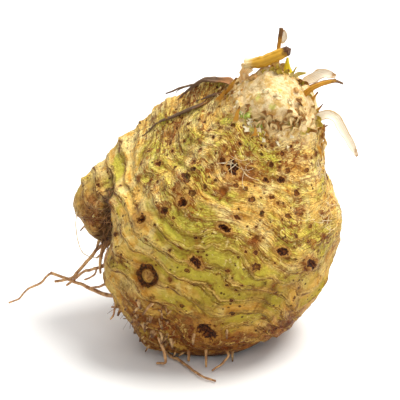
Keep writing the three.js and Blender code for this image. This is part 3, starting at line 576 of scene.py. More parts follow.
def colour_marks(p, normal, turn, arc, count, near):
    """What the colours need to know at each point."""
    eye, _, _ = camera_axes()
    behind = smooth(0.1, -0.35, (unit(eye - p) * normal).sum(-1))
    green = blobs(p, GREEN_SEEN_PIXELS)
    patches = behind * smooth(-0.1, 0.7, noise(p, 30, 60))
    green = green + patches * smooth(30, 50, arc) * smooth(150, 110, arc)
    russet = blobs(p, RUSSET_SEEN_PIXELS)
    russet = russet + 0.75 * smooth(34, 8, p[..., 2]) + 0.5 * behind * smooth(-0.2, 0.8, noise(p, 22, 64))
    lobe = np.exp(-((length(p - np.array(BROWN_LOBE[0])) / BROWN_LOBE[1]) ** 2))
    return {
        "fold": count,
        "level": p[..., 2],
        "bruise": blobs(p, BRUISES_SEEN_PIXELS),
        "arc": arc,
        "pit": near.pit,
        "pit_kind": near.pit_kind,
        "scar": near.scar,
        "ring": near.ring,
        "green": green,
        "russet": russet,
        "lobe": lobe + 0.8 * near.torn,
        # Painted shade: strongest in the cleft and at the foot, where the root meets the floor.
        "cleft_foot_shade": np.exp(-((near.cleft / 5.5) ** 2)) + 0.9 * smooth(6, 0, p[..., 2]),
        "crown": 1 - smooth(15, 20, arc + 2.4 * fractal(p, 5, 2, 30)),
        "flow": np.stack([count * 7, np.cos(turn) * 9, np.sin(turn) * 9], -1),
    }


def root_surface():
    """Points of the finished surface in rows and columns, and what the colours need to know there."""
    rows, columns = ((ROOT_ROWS, ROOT_COLUMNS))
    along = row_places(rows)
    turn = front_heavy_turns(columns)
    along, turn = np.broadcast_arrays(along[:, None], turn[None, :])
    p = skin_of(along, turn)
    normal = outward(p)
    arc = arc_from_crown(p)
    count = fold_count(p)
    near = marks_near(p)
    height = relief(p, arc, count, near)
    raised = p + normal * np.where(p[..., 2] > 1e-3, height, 0)[..., None]
    raised[..., 2] = np.maximum(raised[..., 2], 0)
    return raised, colour_marks(p, normal, turn, arc, count, near)


def tone(code):
    """A scene-linear colour from a six-digit screen colour."""
    parts = [int(code[i : i + 2], 16) / 255 for i in (0, 2, 4)]
    linear = [c / 12.92 if c <= 0.04045 else ((c + 0.055) / 1.055) ** 2.4 for c in parts]
    return (*linear, 1.0)


class Finish:
    """A material whose nodes are made by short calls. Each call gives an output socket."""

    def __init__(self, name):
        self.material = bpy.data.materials.new(name)
        self.material.use_nodes = True
        self.tree = self.material.node_tree
        self.shader = self.tree.nodes["Principled BSDF"]
        coordinates = self.node("ShaderNodeTexCoord").outputs["Object"]
        scale = self.node("ShaderNodeVectorMath", operation="SCALE")
        scale.inputs["Scale"].default_value = 1 / MM
        self.link(coordinates, scale.inputs[0])
        self.place = scale.outputs[0]

    def node(self, kind, **settings):
        node = self.tree.nodes.new(kind)
        for name, value in settings.items():
            setattr(node, name, value)
        return node

    def link(self, value, socket):
        if isinstance(value, bpy.types.NodeSocket):
            self.tree.links.new(value, socket)
        else:
            socket.default_value = value

    def attribute(self, name, output="Fac"):
        return self.node("ShaderNodeAttribute", attribute_name=name).outputs[output]

    def math(self, operation, a, b=0.0):
        node = self.node("ShaderNodeMath", operation=operation)
        self.link(a, node.inputs[0])
        self.link(b, node.inputs[1])
        return node.outputs[0]

    def add(self, *terms):
        total = terms[0]
        for term in terms[1:]:
            total = self.math("ADD", total, term)
        return total

    def times(self, *terms):
        total = terms[0]
        for term in terms[1:]:
            total = self.math("MULTIPLY", total, term)
        return total

    def about(self, value, share):
        """A pattern moved to lie round zero, times a share."""
        return self.times(self.add(value, -0.5), share)

    def step(self, value, low, high, start=0.0, end=1.0):
        node = self.node("ShaderNodeMapRange", interpolation_type="SMOOTHSTEP")
        for socket, number in zip(node.inputs, (value, low, high, start, end)):
            self.link(number, socket)
        return node.outputs["Result"]

    def band(self, value, low, high, soft):
        return self.times(self.step(value, low - soft, low), self.step(value, high, high + soft, 1.0, 0.0))

    def grain(self, vector, size, detail=3.0, roughness=0.55, twist=0.0):
        node = self.node("ShaderNodeTexNoise")
        self.link(vector, node.inputs["Vector"])
        node.inputs["Scale"].default_value = 1 / size
        node.inputs["Detail"].default_value = detail
        node.inputs["Roughness"].default_value = roughness
        node.inputs["Distortion"].default_value = twist
        return node.outputs["Fac"]

    def cells(self, vector, size):
        node = self.node("ShaderNodeTexVoronoi")
        self.link(vector, node.inputs["Vector"])
        node.inputs["Scale"].default_value = 1 / size
        return node.outputs["Distance"]

    def gray(self, value):
        node = self.node("ShaderNodeCombineColor")
        for socket in node.inputs:
            self.link(value, socket)
        return node.outputs[0]

    def mix(self, share, a, b, blend="MIX"):
        node = self.node("ShaderNodeMix", data_type="RGBA", blend_type=blend)
        self.link(share, node.inputs[0])
        self.link(tone(a) if isinstance(a, str) else a, node.inputs[6])
        self.link(tone(b) if isinstance(b, str) else b, node.inputs[7])
        return node.outputs[2]

    def finish(self, color, roughness, height=None, bump=0.3, depth=0.4, **sockets):
        self.link(color, self.shader.inputs["Base Color"])
        self.link(roughness, self.shader.inputs["Roughness"])
        if height is not None:
            node = self.node("ShaderNodeBump")
            node.inputs["Strength"].default_value = bump
            node.inputs["Distance"].default_value = depth * MM
            self.link(height, node.inputs["Height"])
            self.link(node.outputs[0], self.shader.inputs["Normal"])
        for name, value in sockets.items():
            self.shader.inputs[name.replace("_", " ")].default_value = value
        return self.material


class RootFinish(Finish):
    """The root's skin. streak, flecks and broad run along its folds, and the other patterns lie freely."""

    def __init__(self):
        super().__init__("root_skin")
        flow = self.attribute("flow", "Vector")
        self.streak = self.grain(flow, 2.0, 5, 0.6)
        self.flecks = self.grain(flow, 0.75, 4, 0.65)
        self.broad = self.grain(flow, 6.0, 3)
        self.patch = self.grain(self.place, 15, 4)
        self.cloud = self.grain(self.place, 8, 6, 0.62, 0.5)
        self.coarse = self.grain(self.place, 3.2, 5, 0.62)
        self.fine = self.grain(self.place, 1.0, 4, 0.65)
        self.low = self.step(self.attribute("arc"), 50, 92)
        self.fold = self.add(self.attribute("fold"), self.about(self.grain(self.place, 4.5, 3), 0.5))
        self.part = self.math("FRACT", self.fold)
        self.belly = self.band(self.part, 0.12, 0.5, 0.12)
        self.ridged = self.step(self.times(self.belly, self.low), 0.1, 0.8, 1, 0.12)
        self.color = None

    def paint(self, share, color):
        """Lays a colour over what is there."""
        self.color = self.mix(share, self.color, color)

    def mottled(self, low, high, one, other):
        return self.mix(self.step(self.fine, low, high), one, other)


def paint_ground(f):
    """Cream skin with patches of green and tan, and a browner lobe."""
    cream = f.mix(f.step(f.streak, 0.38, 0.66), "f8d590", "dca349")
    cream = f.mix(f.step(f.cloud, 0.46, 0.58, 0, 0.9), cream, "ffedc0")
    green = f.mix(f.step(f.streak, 0.4, 0.66), "c2b44c", "9a8326")
    green = f.mix(f.times(f.belly, f.step(f.broad, 0.33, 0.55), 0.95), green, "cfca58")
    green_share = f.add(f.attribute("green"), f.about(f.broad, 1.9), f.about(f.patch, 1.8))
    f.color = f.mix(f.step(green_share, -0.15, 0.5, 0, 0.95), cream, green)
    tan = f.mix(f.step(f.coarse, 0.38, 0.62), "b26a1e", "6d3705")
    tan_share = f.add(f.attribute("russet"), f.about(f.cloud, 3.0), f.about(f.streak, 2.6))
    f.paint(f.step(tan_share, 0.2, 1.0, 0, 0.85), tan)
    lobe = f.add(f.attribute("lobe"), f.about(f.cloud, 1.2))
    f.paint(f.step(lobe, 0.2, 0.9, 0, 0.75), f.mix(f.step(f.coarse, 0.4, 0.6), "cfa069", "6b3c10"))


def paint_folds(f):
    """Pale crests, painted shadow in the grooves below them, and thin lines between them."""
    calmer = f.add(0.35, f.times(f.low, 0.65))
    broken = f.step(f.add(f.times(f.broad, 0.6), f.times(f.patch, 0.4)), 0.42, 0.56)
    f.paint(f.times(f.band(f.part, 0.68, 0.75, 0.06), broken, 0.85, calmer), "f6d99c")
    stretches = f.step(f.add(f.streak, f.times(f.coarse, 0.5)), 0.62, 0.86)
    stretches = f.times(stretches, f.step(f.cloud, 0.32, 0.54, 0.35, 1))
    # Painted shadow: a dark band just past each crest's lip, where the lip shades the groove.
    f.groove = f.times(f.band(f.part, 0.81, 0.92, 0.07), stretches, calmer)
    f.paint(f.times(f.groove, 0.95), "5c2c05")
    thin = f.math("FRACT", f.add(f.times(f.fold, 2.6), f.times(f.streak, 0.9)))
    lines = f.times(f.band(thin, 0.42, 0.5, 0.07), f.step(f.cloud, 0.4, 0.6), f.ridged)
    f.paint(f.times(lines, 0.8), "7d420a")
    thinner = f.math("FRACT", f.add(f.times(f.fold, 6.3), f.times(f.streak, 1.6)))
    patchy = f.times(f.step(f.coarse, 0.42, 0.6), f.ridged)
    f.paint(f.times(f.band(thinner, 0.4, 0.5, 0.15), patchy, 0.55), "8a500f")
    f.paint(f.times(f.band(thinner, 0.8, 0.9, 0.12), patchy, 0.6), "ffe7ae")


def paint_spots(f):
    """Rust, stains, dark specks, pale flecks, smudges and bruises."""
    high = f.step(f.attribute("arc"), 95, 55, 0, 0.6)
    rust_share = f.add(f.attribute("russet"), high, f.about(f.patch, 1.6))
    rust = f.times(f.step(f.flecks, 0.54, 0.59), f.step(rust_share, 0.1, 1.0, 0.12, 1))
    f.paint(f.times(rust, 0.9), f.mottled(0.4, 0.6, "a54a08", "4c2002"))
    blots = f.step(f.grain(f.place, 4.2, 6, 0.66, 0.8), 0.54, 0.59)
    f.stain = f.times(blots, f.step(rust_share, 0.1, 1.0, 0.08, 1))
    f.paint(f.times(f.stain, 0.85), f.mottled(0.42, 0.6, "a3530e", "582604"))
    where = f.step(f.add(f.coarse, f.times(f.patch, 0.5)), 0.68, 0.8)
    f.paint(f.times(f.times(f.step(f.cells(f.place, 3.0), 0.16, 0.26, 1, 0), where), 0.9), "4d2002")
    specks = f.times(f.step(f.cells(f.place, 1.4), 0.12, 0.24, 1, 0), f.step(f.cloud, 0.52, 0.62))
    f.paint(f.times(specks, 0.8), "3c1a03")
    pale = f.times(f.step(f.grain(f.place, 1.8, 5, 0.7), 0.57, 0.64), f.step(f.cloud, 0.44, 0.58))
    f.paint(f.times(pale, 0.7), "fff0ca")
    smudge = f.step(f.grain(f.place, 10, 6, 0.66, 0.8), 0.53, 0.63)
    f.paint(f.times(smudge, f.low, f.step(f.coarse, 0.35, 0.6, 0.4, 1), 0.7), "73430f")
    bruise = f.add(f.attribute("bruise"), f.about(f.coarse, 1.6), f.about(f.fine, 0.8))
    f.paint(f.step(bruise, 0.35, 0.8, 0, 0.9), f.mottled(0.42, 0.62, "331604", "7d4410"))


def paint_pits(f):
    """Each pit has a brown halo, a dark rim and a middle that is tan, or nearly black as painted shade in the
    deeper pits.
    """
    off = f.add(f.attribute("pit"), f.about(f.fine, 1.5), f.about(f.coarse, 2.0))
    halo = f.times(f.step(off, 0.9, 2.6, 1, 0), f.step(f.cloud, 0.36, 0.6, 0.1, 1))
    f.paint(f.times(halo, 0.85), "8f4f12")
    kind = f.attribute("pit_kind")
    clear = f.step(kind, 0.15, 0.4, 0.35, 1)
    f.paint(f.times(f.band(off, 1.05, 1.25, 0.15), 0.3, clear), "efc07a")
    f.paint(f.times(f.band(off, 0.6, 0.98, 0.14), 0.9, clear), "552405")
    # Painted shade: pits of higher kind, which are dug deeper, get a nearly black middle for the shade in
    # their hollow.
    middle = f.mix(f.step(kind, 0.5, 0.65), "96571c", "200d01")
    f.paint(f.times(f.step(off, 0.4, 0.6, 1, 0), 0.9), middle)


def paint_scars(f):
    """Dark scars with a pale lip, the ring scar, and painted shade in the cleft and under the foot."""
    off = f.add(f.attribute("scar"), f.about(f.fine, 1.1), f.about(f.coarse, 1.7))
    f.paint(f.times(f.step(off, 0.9, 2.1, 1, 0), 0.7), "8d4a10")
    f.paint(f.times(f.band(off, 0.95, 1.15, 0.15), 0.55), "eabd7a")
    f.paint(f.step(off, 0.6, 0.95, 1, 0), f.mottled(0.42, 0.6, "2a1103", "784010"))
    ring = f.add(f.attribute("ring"), f.about(f.coarse, 0.45))
    f.paint(f.times(f.step(ring, 1.0, 1.6, 1, 0), 0.55), "a0622a")
    f.paint(f.times(f.step(ring, 0.35, 0.6, 1, 0), 0.8), f.mottled(0.4, 0.6, "d8ab72", "7a4718"))
    f.paint(f.times(f.band(ring, 0.6, 0.94, 0.1), 0.95), f.mottled(0.4, 0.6, "2c1202", "7a4412"))
    # Painted shade: a very dark brown laid in the cleft and round the foot, where shade falls.
    cleft_foot_shade = f.add(f.attribute("cleft_foot_shade"), f.about(f.coarse, 1.3))
    f.paint(f.step(cleft_foot_shade, 0.3, 1.0, 0, 0.88), "3c1c04")


def mottle_and_low_shade(f):
    """A fine mottle all over, less in the bellies, a yellower tone, and painted shade that darkens and dulls
    the colour toward the foot.
    """
    mottle = f.step(f.add(f.times(f.fine, 0.6), f.times(f.coarse, 0.4)), 0.39, 0.62, -0.34, 0.17)
    mottle = f.add(1, f.times(mottle, f.step(f.ridged, 0, 1, 0.4, 1)))
    color = f.mix(1.0, f.color, f.gray(mottle), "MULTIPLY")
    # Painted shade: from 85 mm down to 30 mm the colour is multiplied darker, as less light falls low on the
    # root.
    level = f.mix(f.step(f.attribute("level"), 85, 30), "fff9cc", "cebc80")
    f.color = f.mix(1.0, color, level, "MULTIPLY")


def crown_flesh(f):
    """The cut crown: pale flesh with yellow strings, brown rims and a little green."""
    flesh = f.mix(f.step(f.grain(f.place, 3.5, 5, 0.62), 0.4, 0.62), "eed3a0", "d2a95e")
    flesh = f.mix(f.step(f.grain(f.place, 2.2, 4), 0.52, 0.62, 0, 0.75), flesh, "f4e0b0")
    green = f.add(f.attribute("green"), f.about(f.coarse, 2.2), f.about(f.fine, 0.8))
    flesh = f.mix(f.step(green, 0.3, 0.9, 0, 0.85), flesh, "c9c65a")
    flesh = f.mix(f.step(f.grain(f.place, 2.8, 5, 0.65, 1.5), 0.58, 0.65, 0, 0.55), flesh, "b87a34")
    strings = f.step(f.cells(f.place, 1.7), 0.12, 0.26, 1, 0)
    strings = f.times(strings, f.step(f.grain(f.place, 5, 2), 0.46, 0.6))
    flesh = f.mix(f.times(strings, 0.5), flesh, "a4702e")
    return f.mix(f.step(f.fine, 0.55, 0.68, 0, 0.4), flesh, "c99f55")


def root_skin():
    f = RootFinish()
    for layer in (paint_ground, paint_folds, paint_spots, paint_pits, paint_scars, mottle_and_low_shade):
        layer(f)
    f.paint(f.attribute("crown"), crown_flesh(f))
    height = f.add(f.times(f.streak, 0.8), f.times(f.fine, 0.7), f.times(f.groove, -0.6))
    height = f.add(height, f.times(f.stain, -0.2), f.coarse)
    rough = f.step(f.coarse, 0.3, 0.7, 0.42, 0.66)
    extras = {"Subsurface_Weight": 0.03, "Subsurface_Scale": 0.002, "Specular_IOR_Level": 0.16}
    return f.finish(f.color, rough, height, 0.8, 1.1, **extras)


def fibre_skin(name, light, dark, tip=None):
    """Rootlets and other stringy bits, coloured along their length."""
    f = Finish(name)
    streak = f.grain(f.place, 2.4, 4)
    color = f.mix(f.step(streak, 0.35, 0.65), light, dark)
    if tip:
        color = f.mix(f.step(f.add(f.attribute("along"), f.about(streak, 0.3)), 0.6, 0.98), color, tip)
    return f.finish(color, 0.6, f.grain(f.place, 0.7, 3), 0.4, 0.3)


def stalk_skin(name, base, middle, edge, tip, tip_from=0.8, spread=0.0, rim=None):
    """Leaf stalks: ribbed along their length, pale where they were torn, and dark where they dried."""
    f = Finish(name)
    along = f.attribute("along")
    around = f.attribute("around")
    shade = f.about(f.attribute("shade"), spread)
    grain = f.grain(f.place, 2.5, 4)
    rib = f.math("SINE", f.times(around, 44))
    color = f.mix(f.step(f.add(along, f.times(grain, 0.2), shade), 0.12, 0.36), base, middle)
    color = f.mix(f.times(f.step(rib, -0.2, 0.9), 0.45), color, edge)
    color = f.mix(f.step(grain, 0.58, 0.76, 0, 0.6), color, edge)
    if rim:
        from_middle = f.math("ABSOLUTE", f.add(around, -0.5))
        color = f.mix(f.step(f.add(from_middle, f.about(grain, 0.2)), 0.36, 0.5, 0, 0.9), color, rim)
    color = f.mix(f.step(f.add(along, f.about(grain, 0.35), shade), tip_from, tip_from + 0.14), color, tip)
    height = f.add(f.times(rib, 0.3), f.grain(f.place, 1.0, 3))
    return f.finish(color, 0.55, height, 0.5, 0.4, Specular_IOR_Level=0.3)


def cut_base_skin():
    """Cut leaf stalks: each is green, brown or pale, by its shade."""
    f = Finish("cut_base_skin")
    fine = f.grain(f.place, 1.1, 4, 0.6)
    shade = f.attribute("shade")
    color = f.mix(f.step(shade, 0.3, 0.5), "a5bd4a", f.mix(f.step(shade, 0.6, 0.8), "c08a40", "ecd8a4"))
    color = f.mix(f.step(fine, 0.46, 0.6, 0, 0.75), color, "866022")
    return f.finish(color, 0.55, fine, 0.5, 0.4, Subsurface_Weight=0.1, Subsurface_Scale=0.002)


def mesh_piece(name, points, faces, finish, node, marks):
    """A piece from points in millimetres, which rides on the root and stands for a node of the CAD model."""
    mesh = bpy.data.meshes.new(name)
    mesh.from_pydata((np.asarray(points) * MM).tolist(), [], [list(face) for face in faces])
    mesh.materials.append(finish)
    for label, values in marks.items():
        values = np.asarray(values, dtype=np.float32)
        kind = "FLOAT_VECTOR" if values.ndim == 2 else "FLOAT"
        layer = mesh.attributes.new(label, kind, "POINT")
        layer.data.foreach_set("vector" if values.ndim == 2 else "value", values.ravel())
    mesh.polygons.foreach_set("use_smooth", [True] * len(mesh.polygons))
    mesh.update()
    piece = bpy.data.objects.new(name, mesh)
    bpy.context.scene.collection.objects.link(piece)
    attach(piece, "root")
    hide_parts(node)


def root_piece(finish):
    points, marks = root_surface()
    rows, columns = points.shape[:2]
    index = np.arange(rows * columns).reshape(rows, columns)
    after = np.roll(index, -1, axis=1)
    quads = np.stack([index[:-1], after[:-1], after[1:], index[1:]], -1).reshape(-1, 4)
    base = rows * columns
    flat = points.reshape(-1, 3)
    flat = np.vstack([flat, points[0].mean(0), points[-1].mean(0)])
    caps = [(base, int(b), int(a)) for a, b in zip(index[0], after[0])]
    caps += [(base + 1, int(a), int(b)) for a, b in zip(index[-1], after[-1])]
    flat_marks = {}
    for label, values in marks.items():
        values = values.reshape((rows * columns, -1))
        values = np.vstack([values, values[:columns].mean(0), values[-columns:].mean(0)])
        flat_marks[label] = values if values.shape[1] == 3 else values[:, 0]
    mesh_piece("root_body", flat, quads.tolist() + caps, finish, "celeriac_root", flat_marks)


def curve(route, count):
    """Evenly spaced points on a smooth curve through the route, and its directions there."""
    p = np.array(route, float)
    p = np.vstack([2 * p[0] - p[1], p, 2 * p[-1] - p[-2]])
    dense = []
    for a, b, c, d in zip(p[:-3], p[1:-2], p[2:-1], p[3:]):
        ab, bc, cd = (max(length(v) ** 0.5, 1e-4) for v in (b - a, c - b, d - c))
        leave = (b - a) / ab - (c - a) / (ab + bc) + (c - b) / bc
        arrive = (c - b) / bc - (d - b) / (bc + cd) + (d - c) / cd
        leave, arrive = leave * bc, arrive * bc
        t = np.linspace(0, 1, 40, endpoint=False)[:, None]
        cubic = (2 * b - 2 * c + leave + arrive) * t**3
        square = (3 * c - 3 * b - 2 * leave - arrive) * t**2
        dense.append(cubic + square + leave * t + b)
    dense = np.vstack([*dense, p[-2:-1]])
    travelled = np.concatenate([[0], np.cumsum(length(np.diff(dense, axis=0)))])
    wanted = np.linspace(0, travelled[-1], count)
    points = np.stack([np.interp(wanted, travelled, dense[:, k]) for k in range(3)], -1)
    return points, unit(np.gradient(points, axis=0))


TOWARD_CAMERA = (0, -1, 0)
ANY_FACE = (0.31, 0.87, 0.38)  # lies along none of the round strands, so any of them can be swept with it


class Strands:
    """Many swept tubes and blades gathered into one mesh."""

    def __init__(self):
        self.points = []
        self.faces = []
        self.along = []
        self.around = []
        self.shade = []
        self.random = np.random.default_rng(SEED)
        self.count = 0

    def take(self, rings, along, around):
        """rings is segments by sides by 3. The ends are closed with a point each."""
        segments, sides = rings.shape[:2]
        ends = np.stack([rings[0].mean(0), rings[-1].mean(0)])
        self.points.append(np.vstack([rings.reshape(-1, 3), ends]))
        self.along.append(np.concatenate([np.repeat(along, sides), [along[0], along[-1]]]))
        self.around.append(np.concatenate([np.tile(around, segments), [0.5, 0.5]]))
        self.shade.append(np.full(segments * sides + 2, self.random.uniform()))
        start = self.count
        for i in range(segments - 1):
            for k in range(sides):
                a = start + i * sides + k
                b = start + i * sides + (k + 1) % sides
                self.faces.append((a, b, b + sides, a + sides))
        first = start + segments * sides
        for k in range(sides):
            after = (k + 1) % sides
            self.faces.append((first, start + after, start + k))
            last = start + (segments - 1) * sides
            self.faces.append((first + 1, last + k, last + after))
        self.count += segments * sides + 2

    def tube(self, route, wide, thick, sides, segments, face=ANY_FACE, ribs=0, jag=0.0, seed=0, wander=0.0):
        """An oval tube. wide and thick are functions of the share of the way along."""
        middles, ways = curve(route, segments)
        share = np.linspace(0, 1, segments)
        side = unit(np.cross(ways, np.array(face, float)))
        up = np.cross(side, ways)
        stray = side * noise(middles, 3.5, seed)[:, None] + up * noise(middles, 3.0, seed + 7)[:, None]
        middles = middles + wander * np.sin(np.pi * share)[:, None] * stray
        turn = 2 * math.pi * (np.arange(sides) + 0.5) / sides
        swell = 1 + (0.07 * np.cos(ribs * turn) if ribs else 0 * turn)
        across = (wide(share)[:, None] * np.cos(turn) * swell)[..., None] * side[:, None]
        through = (thick(share)[:, None] * np.sin(turn) * swell)[..., None] * up[:, None]
        rings = middles[:, None] + across + through
        rough = 1 + 0.16 * noise(rings, 1.6, seed + 3)
        rings = middles[:, None] + (rings - middles[:, None]) * rough[..., None]
        if jag:
            torn = jag * noise(rings[-1], 1.3, seed + 5)
            rings[-1] += torn[:, None] * ways[-1]
        self.take(rings, share, np.arange(sides) / sides)

    def blade(self, route, wide, thick, curl, face, across, segments, seed, ragged):
        """A thin blade, curled across its width, with ragged edges."""
        middles, ways = curve(route, segments)
        share = np.linspace(0, 1, segments)
        side = unit(np.cross(ways, np.array(face, float)))
        up = np.cross(side, ways)
        u = np.linspace(-1, 1, across)
        half = wide(share)[:, None] * np.ones(across)
        edge = 1 + ragged * noise(middles[:, None] + 3 * side[:, None] * u[:, None], 1.7, seed)
        half = half * edge
        height = curl(share)[:, None] * (u**2 - 0.4) * wide(share)[:, None]
        sheet = middles[:, None] + (half * u)[..., None] * side[:, None] + height[..., None] * up[:, None]
        sheet = sheet + 0.3 * ragged * noise(sheet, 2.2, seed + 9)[..., None] * up[:, None]
        slim = thick * (1 - 0.7 * u**2)[None, :, None] * up[:, None]
        rings = np.concatenate([sheet + slim, (sheet - slim)[:, ::-1]], axis=1)
        self.take(rings, share, np.concatenate([np.linspace(0, 1, across), np.linspace(1, 0, across)]))

    def piece(self, name, finish, slot="root_skin", node="celeriac_root"):
        marks = {label: np.concatenate(getattr(self, label)) for label in ("along", "around", "shade")}
        mesh_piece(name, np.vstack(self.points), self.faces, finish, node, marks)


def taper(start, end):
    return lambda share: start + (end - start) * share


def any_seed(rng):
    return int(rng.integers(1, 9999))


def surface_height(p):
    """How far the finished surface stands off the smooth body, near enough for what is planted on it."""
    foot = smooth(0.4, FOOT_FADE, p[..., 2])
    return foot * (fold_height(p, fold_count(p)) + smooth(16, 40, arc_from_crown(p)) * waves(LUMP_WAVES, p))


def rootlets(finish):
    strands = Strands()
    for k, (_, thick, tip, route) in enumerate(ROOTLETS):
        radius = taper(0.92 * thick, 0.9 * tip)
        strands.tube(route, radius, radius, 9, 34, seed=k * 11, wander=0.35)
    strands.piece("rootlets", finish)


def planted(strands, foot, way, size, radius, rng, sag=0.3, sides=5, curl=0.5):
    """A short strand that starts inside the root, leaves along way and bends at random."""
    bend = rng.normal(0, 1, 3) * curl
    reach = [foot - way * 1.6, foot + way * 0.35 * size]
    for share in (0.7, 1.0):
        point = foot + way * share * size + bend * share**2 * 0.4 * size
        point[2] -= sag * share**2 * size
        reach.append(point)
    reach = np.array(reach)
    reach[:, 2] = np.maximum(reach[:, 2], radius + 0.25)
    thin = taper(radius, 0.45 * radius)
    strands.tube(reach, thin, thin, sides, 7, seed=any_seed(rng))


def root_stubs(finish):
    """Broken stubs of rootlets over the lower part, and thick in the patches where roots were cut away."""
    rng = np.random.default_rng(SEED + 1)
    strands = Strands()
    feet = list(anywhere_on(rng, 0.05, 0.34, STUBS_SCATTERED))
    for middle, reach, count in STUB_PATCHES:
        feet += list(onto_body(np.array(middle) + rng.uniform(-reach, reach, (count, 3)))[0])
    for foot in feet:
        if foot[2] < 3:
            continue
        way = outward(foot) + rng.normal(0, 0.4, 3)
        foot = foot + outward(foot) * surface_height(foot)
        planted(strands, foot, unit(way), rng.uniform(1.0, 3.4), rng.uniform(0.4, 1.2), rng)
    strands.piece("root_stubs", finish)


def pale_root_hairs(rng, finish):
    """Fine pale hairs that lie curved along the skin, in a tuft and on the right, and one hanging loop."""
    strands = Strands()
    groups = []
    for (x, x_spread), (y, y_spread), count, lean, down, long in PALE_HAIRS_SEEN_PIXELS:
        pixels = [(x + rng.normal(0, x_spread), y + rng.normal(0, y_spread)) for _ in range(count)]
        groups += [(foot, lean, down, long) for foot in seen_at(pixels)]
    for foot, lean, down, long in groups:
        normal = outward(foot)
        way = np.array([lean + rng.normal(0, 0.5), -0.2, down + rng.normal(0, 0.5)])
        bend = rng.normal(0, 0.3, 3)
        route = [foot - normal, foot + normal * surface_height(foot)]
        step = long * rng.uniform(0.08, 0.2)
        for _ in range(6):
            way = unit(way + bend)
            foot, normal = onto_body(foot + unit(way - normal * (way @ normal)) * step)
            route.append(foot + normal * (max(0, surface_height(foot)) + rng.uniform(0.1, 0.7)))
        radius = rng.uniform(0.09, 0.15)
        thin = taper(radius, 0.6 * radius)
        strands.tube(route, thin, thin, 4, 14, seed=any_seed(rng))
    strands.tube(SIDE_LOOP, taper(0.25, 0.2), taper(0.25, 0.2), 6, 40, seed=77)
    strands.piece("pale_root_hairs", finish)


def dark_root_hairs(rng, finish):
    """Fine dark hairs in the cleft and under the root."""
    strands = Strands()
    feet = list(anywhere_on(rng, 0.03, 0.26, DARK_HAIRS_BELOW))
    cleft = np.array(CLEFT, float)
    feet += [cleft[i] + rng.normal(0, 2.2, 3) for i in rng.integers(1, len(cleft), DARK_HAIRS_IN_CLEFT)]
    for foot in onto_body(np.array(feet))[0]:
        if foot[2] < 2.5:
            continue
        way = outward(foot) + rng.normal(0, 0.5, 3)
        way[2] -= 0.5
        foot = foot + outward(foot) * surface_height(foot)
        planted(strands, foot, unit(way), rng.uniform(1.5, 5.5), rng.uniform(0.12, 0.24), rng, 0.35, 4, 0.9)
    strands.piece("dark_root_hairs", finish)


def on_crown(arc, turn):
    """The smooth body's point and normal at an arc from the crown's middle, in a direction round the axis."""
    away = np.cos(turn) * ACROSS + np.sin(turn) * FACING
    higher = 5 * max(0, away @ np.array([0.5, -0.85, 0]))
    angle = (arc - higher) / RING_RADIUS
    way = AXIS * math.cos(angle) + away * math.sin(angle)
    return onto_body(HEART + way * 58 / max(0.6, math.cos(0.9 * angle)))


def leaf_base_scales(finish):
    """Torn leaf bases that overlap in rows round the neck, their ragged tips toward the crown's middle."""
    rng = np.random.default_rng(SEED + 3)
    strands = Strands()

    def scale(base, tip, half):
        base_normal, tip_normal = outward(base), outward(tip)
        middle = (base + tip) / 2 + base_normal * rng.uniform(0.5, 1.3)
        route = [base - base_normal * 1.3, middle, tip + tip_normal * rng.uniform(0.5, 2.2)]
        shape = lambda share: half * (1 - 0.75 * share**2.6)
        strands.blade(route, shape, 0.3, taper(0.4, 0.8), base_normal, 9, 12, any_seed(rng), 0.6)

    for row, count, long, wide in SCALE_ROWS_SEEN_PIXELS:
        places = np.linspace(0, len(row) - 1, count) + rng.uniform(-0.1, 0.1, count)
        for share in np.clip(places, 0, len(row) - 1):
            px, py = [np.interp(share, range(len(row)), [point[k] for point in row]) for k in range(2)]
            px, py = px + rng.normal(0, 1.6), py + rng.normal(0, 1.8)
            reach = long * rng.uniform(0.5, 1.25)
            inward = np.array([CROWN_SEEN_PIXEL[0] - px, CROWN_SEEN_PIXEL[1] - py])
            toward = unit(inward + rng.normal(0, 14, 2))
            base, tip = seen_at([(px, py), (px + reach * toward[0], py + reach * toward[1])])
            scale(base, tip, wide * rng.uniform(0.5, 1.15))
    for arc, count, size, wide in SCALE_RINGS_BEHIND:
        for i in range(count):
            turn = math.pi * (0.95 + 1.1 * (i + rng.uniform(-0.4, 0.4)) / count)
            at = arc + rng.uniform(-2.2, 2.2)
            base, tip = on_crown(at, turn)[0], on_crown(at - size * rng.uniform(0.45, 1.2), turn)[0]
            if (base - tip) @ unit(camera_axes()[0] - base) < 0:
                scale(base, tip, wide * rng.uniform(0.4, 1.1))
    strands.piece("leaf_base_scales", finish)


# Dried pointed ends of leaf stalks round the neck: half a width and the route.
SPIKES = [
    (1.5, [(4.2, 2, 111.5), (7.1, 0, 118.1), (9.8, -1, 123)]),
    (1.2, [(1.5, 0, 112), (3.6, -1.6, 115.5), (5.6, -2, 118.5)]),
    (1.1, [(8.7, -19, 109), (9.7, -21, 113.5), (10.8, -21, 117.1)]),
    (1.1, [(16.5, -22, 104), (17.2, -25.5, 107), (17, -26, 110.5)]),
    (1.0, [(40, -6, 104), (43.5, -7, 109.5), (46.5, -7.5, 113.4)]),
    (1.3, [(38, -4, 110), (42, -4.6, 114.5), (44.5, -5, 118)]),
    (1.0, [(40, -8, 99), (45, -9, 102.5), (48.6, -9.5, 104.6)]),
    (0.7, [(44, -8, 100), (46.2, -9, 96.5), (47, -9, 93)]),
    (0.6, [(44.6, -10, 96), (46.6, -11, 92.5), (47.8, -11, 89.5)]),
    (0.6, [(43.6, -14, 98), (45.4, -15.5, 94.5), (46, -16, 91)]),
]


def crown_spikes(finish):
    """Dried pointed leaf-stalk ends that stand up round the neck."""
    strands = Strands()
    for k, (half, route) in enumerate(SPIKES):
        shape = lambda share, half=half: half * (1 - 0.8 * share**1.5)
        strands.blade(route, shape, 0.35, taper(0.5, 0.5), (0.2, -0.95, 0.2), 5, 12, k * 5, 0.4)
    strands.piece("crown_spikes", finish)


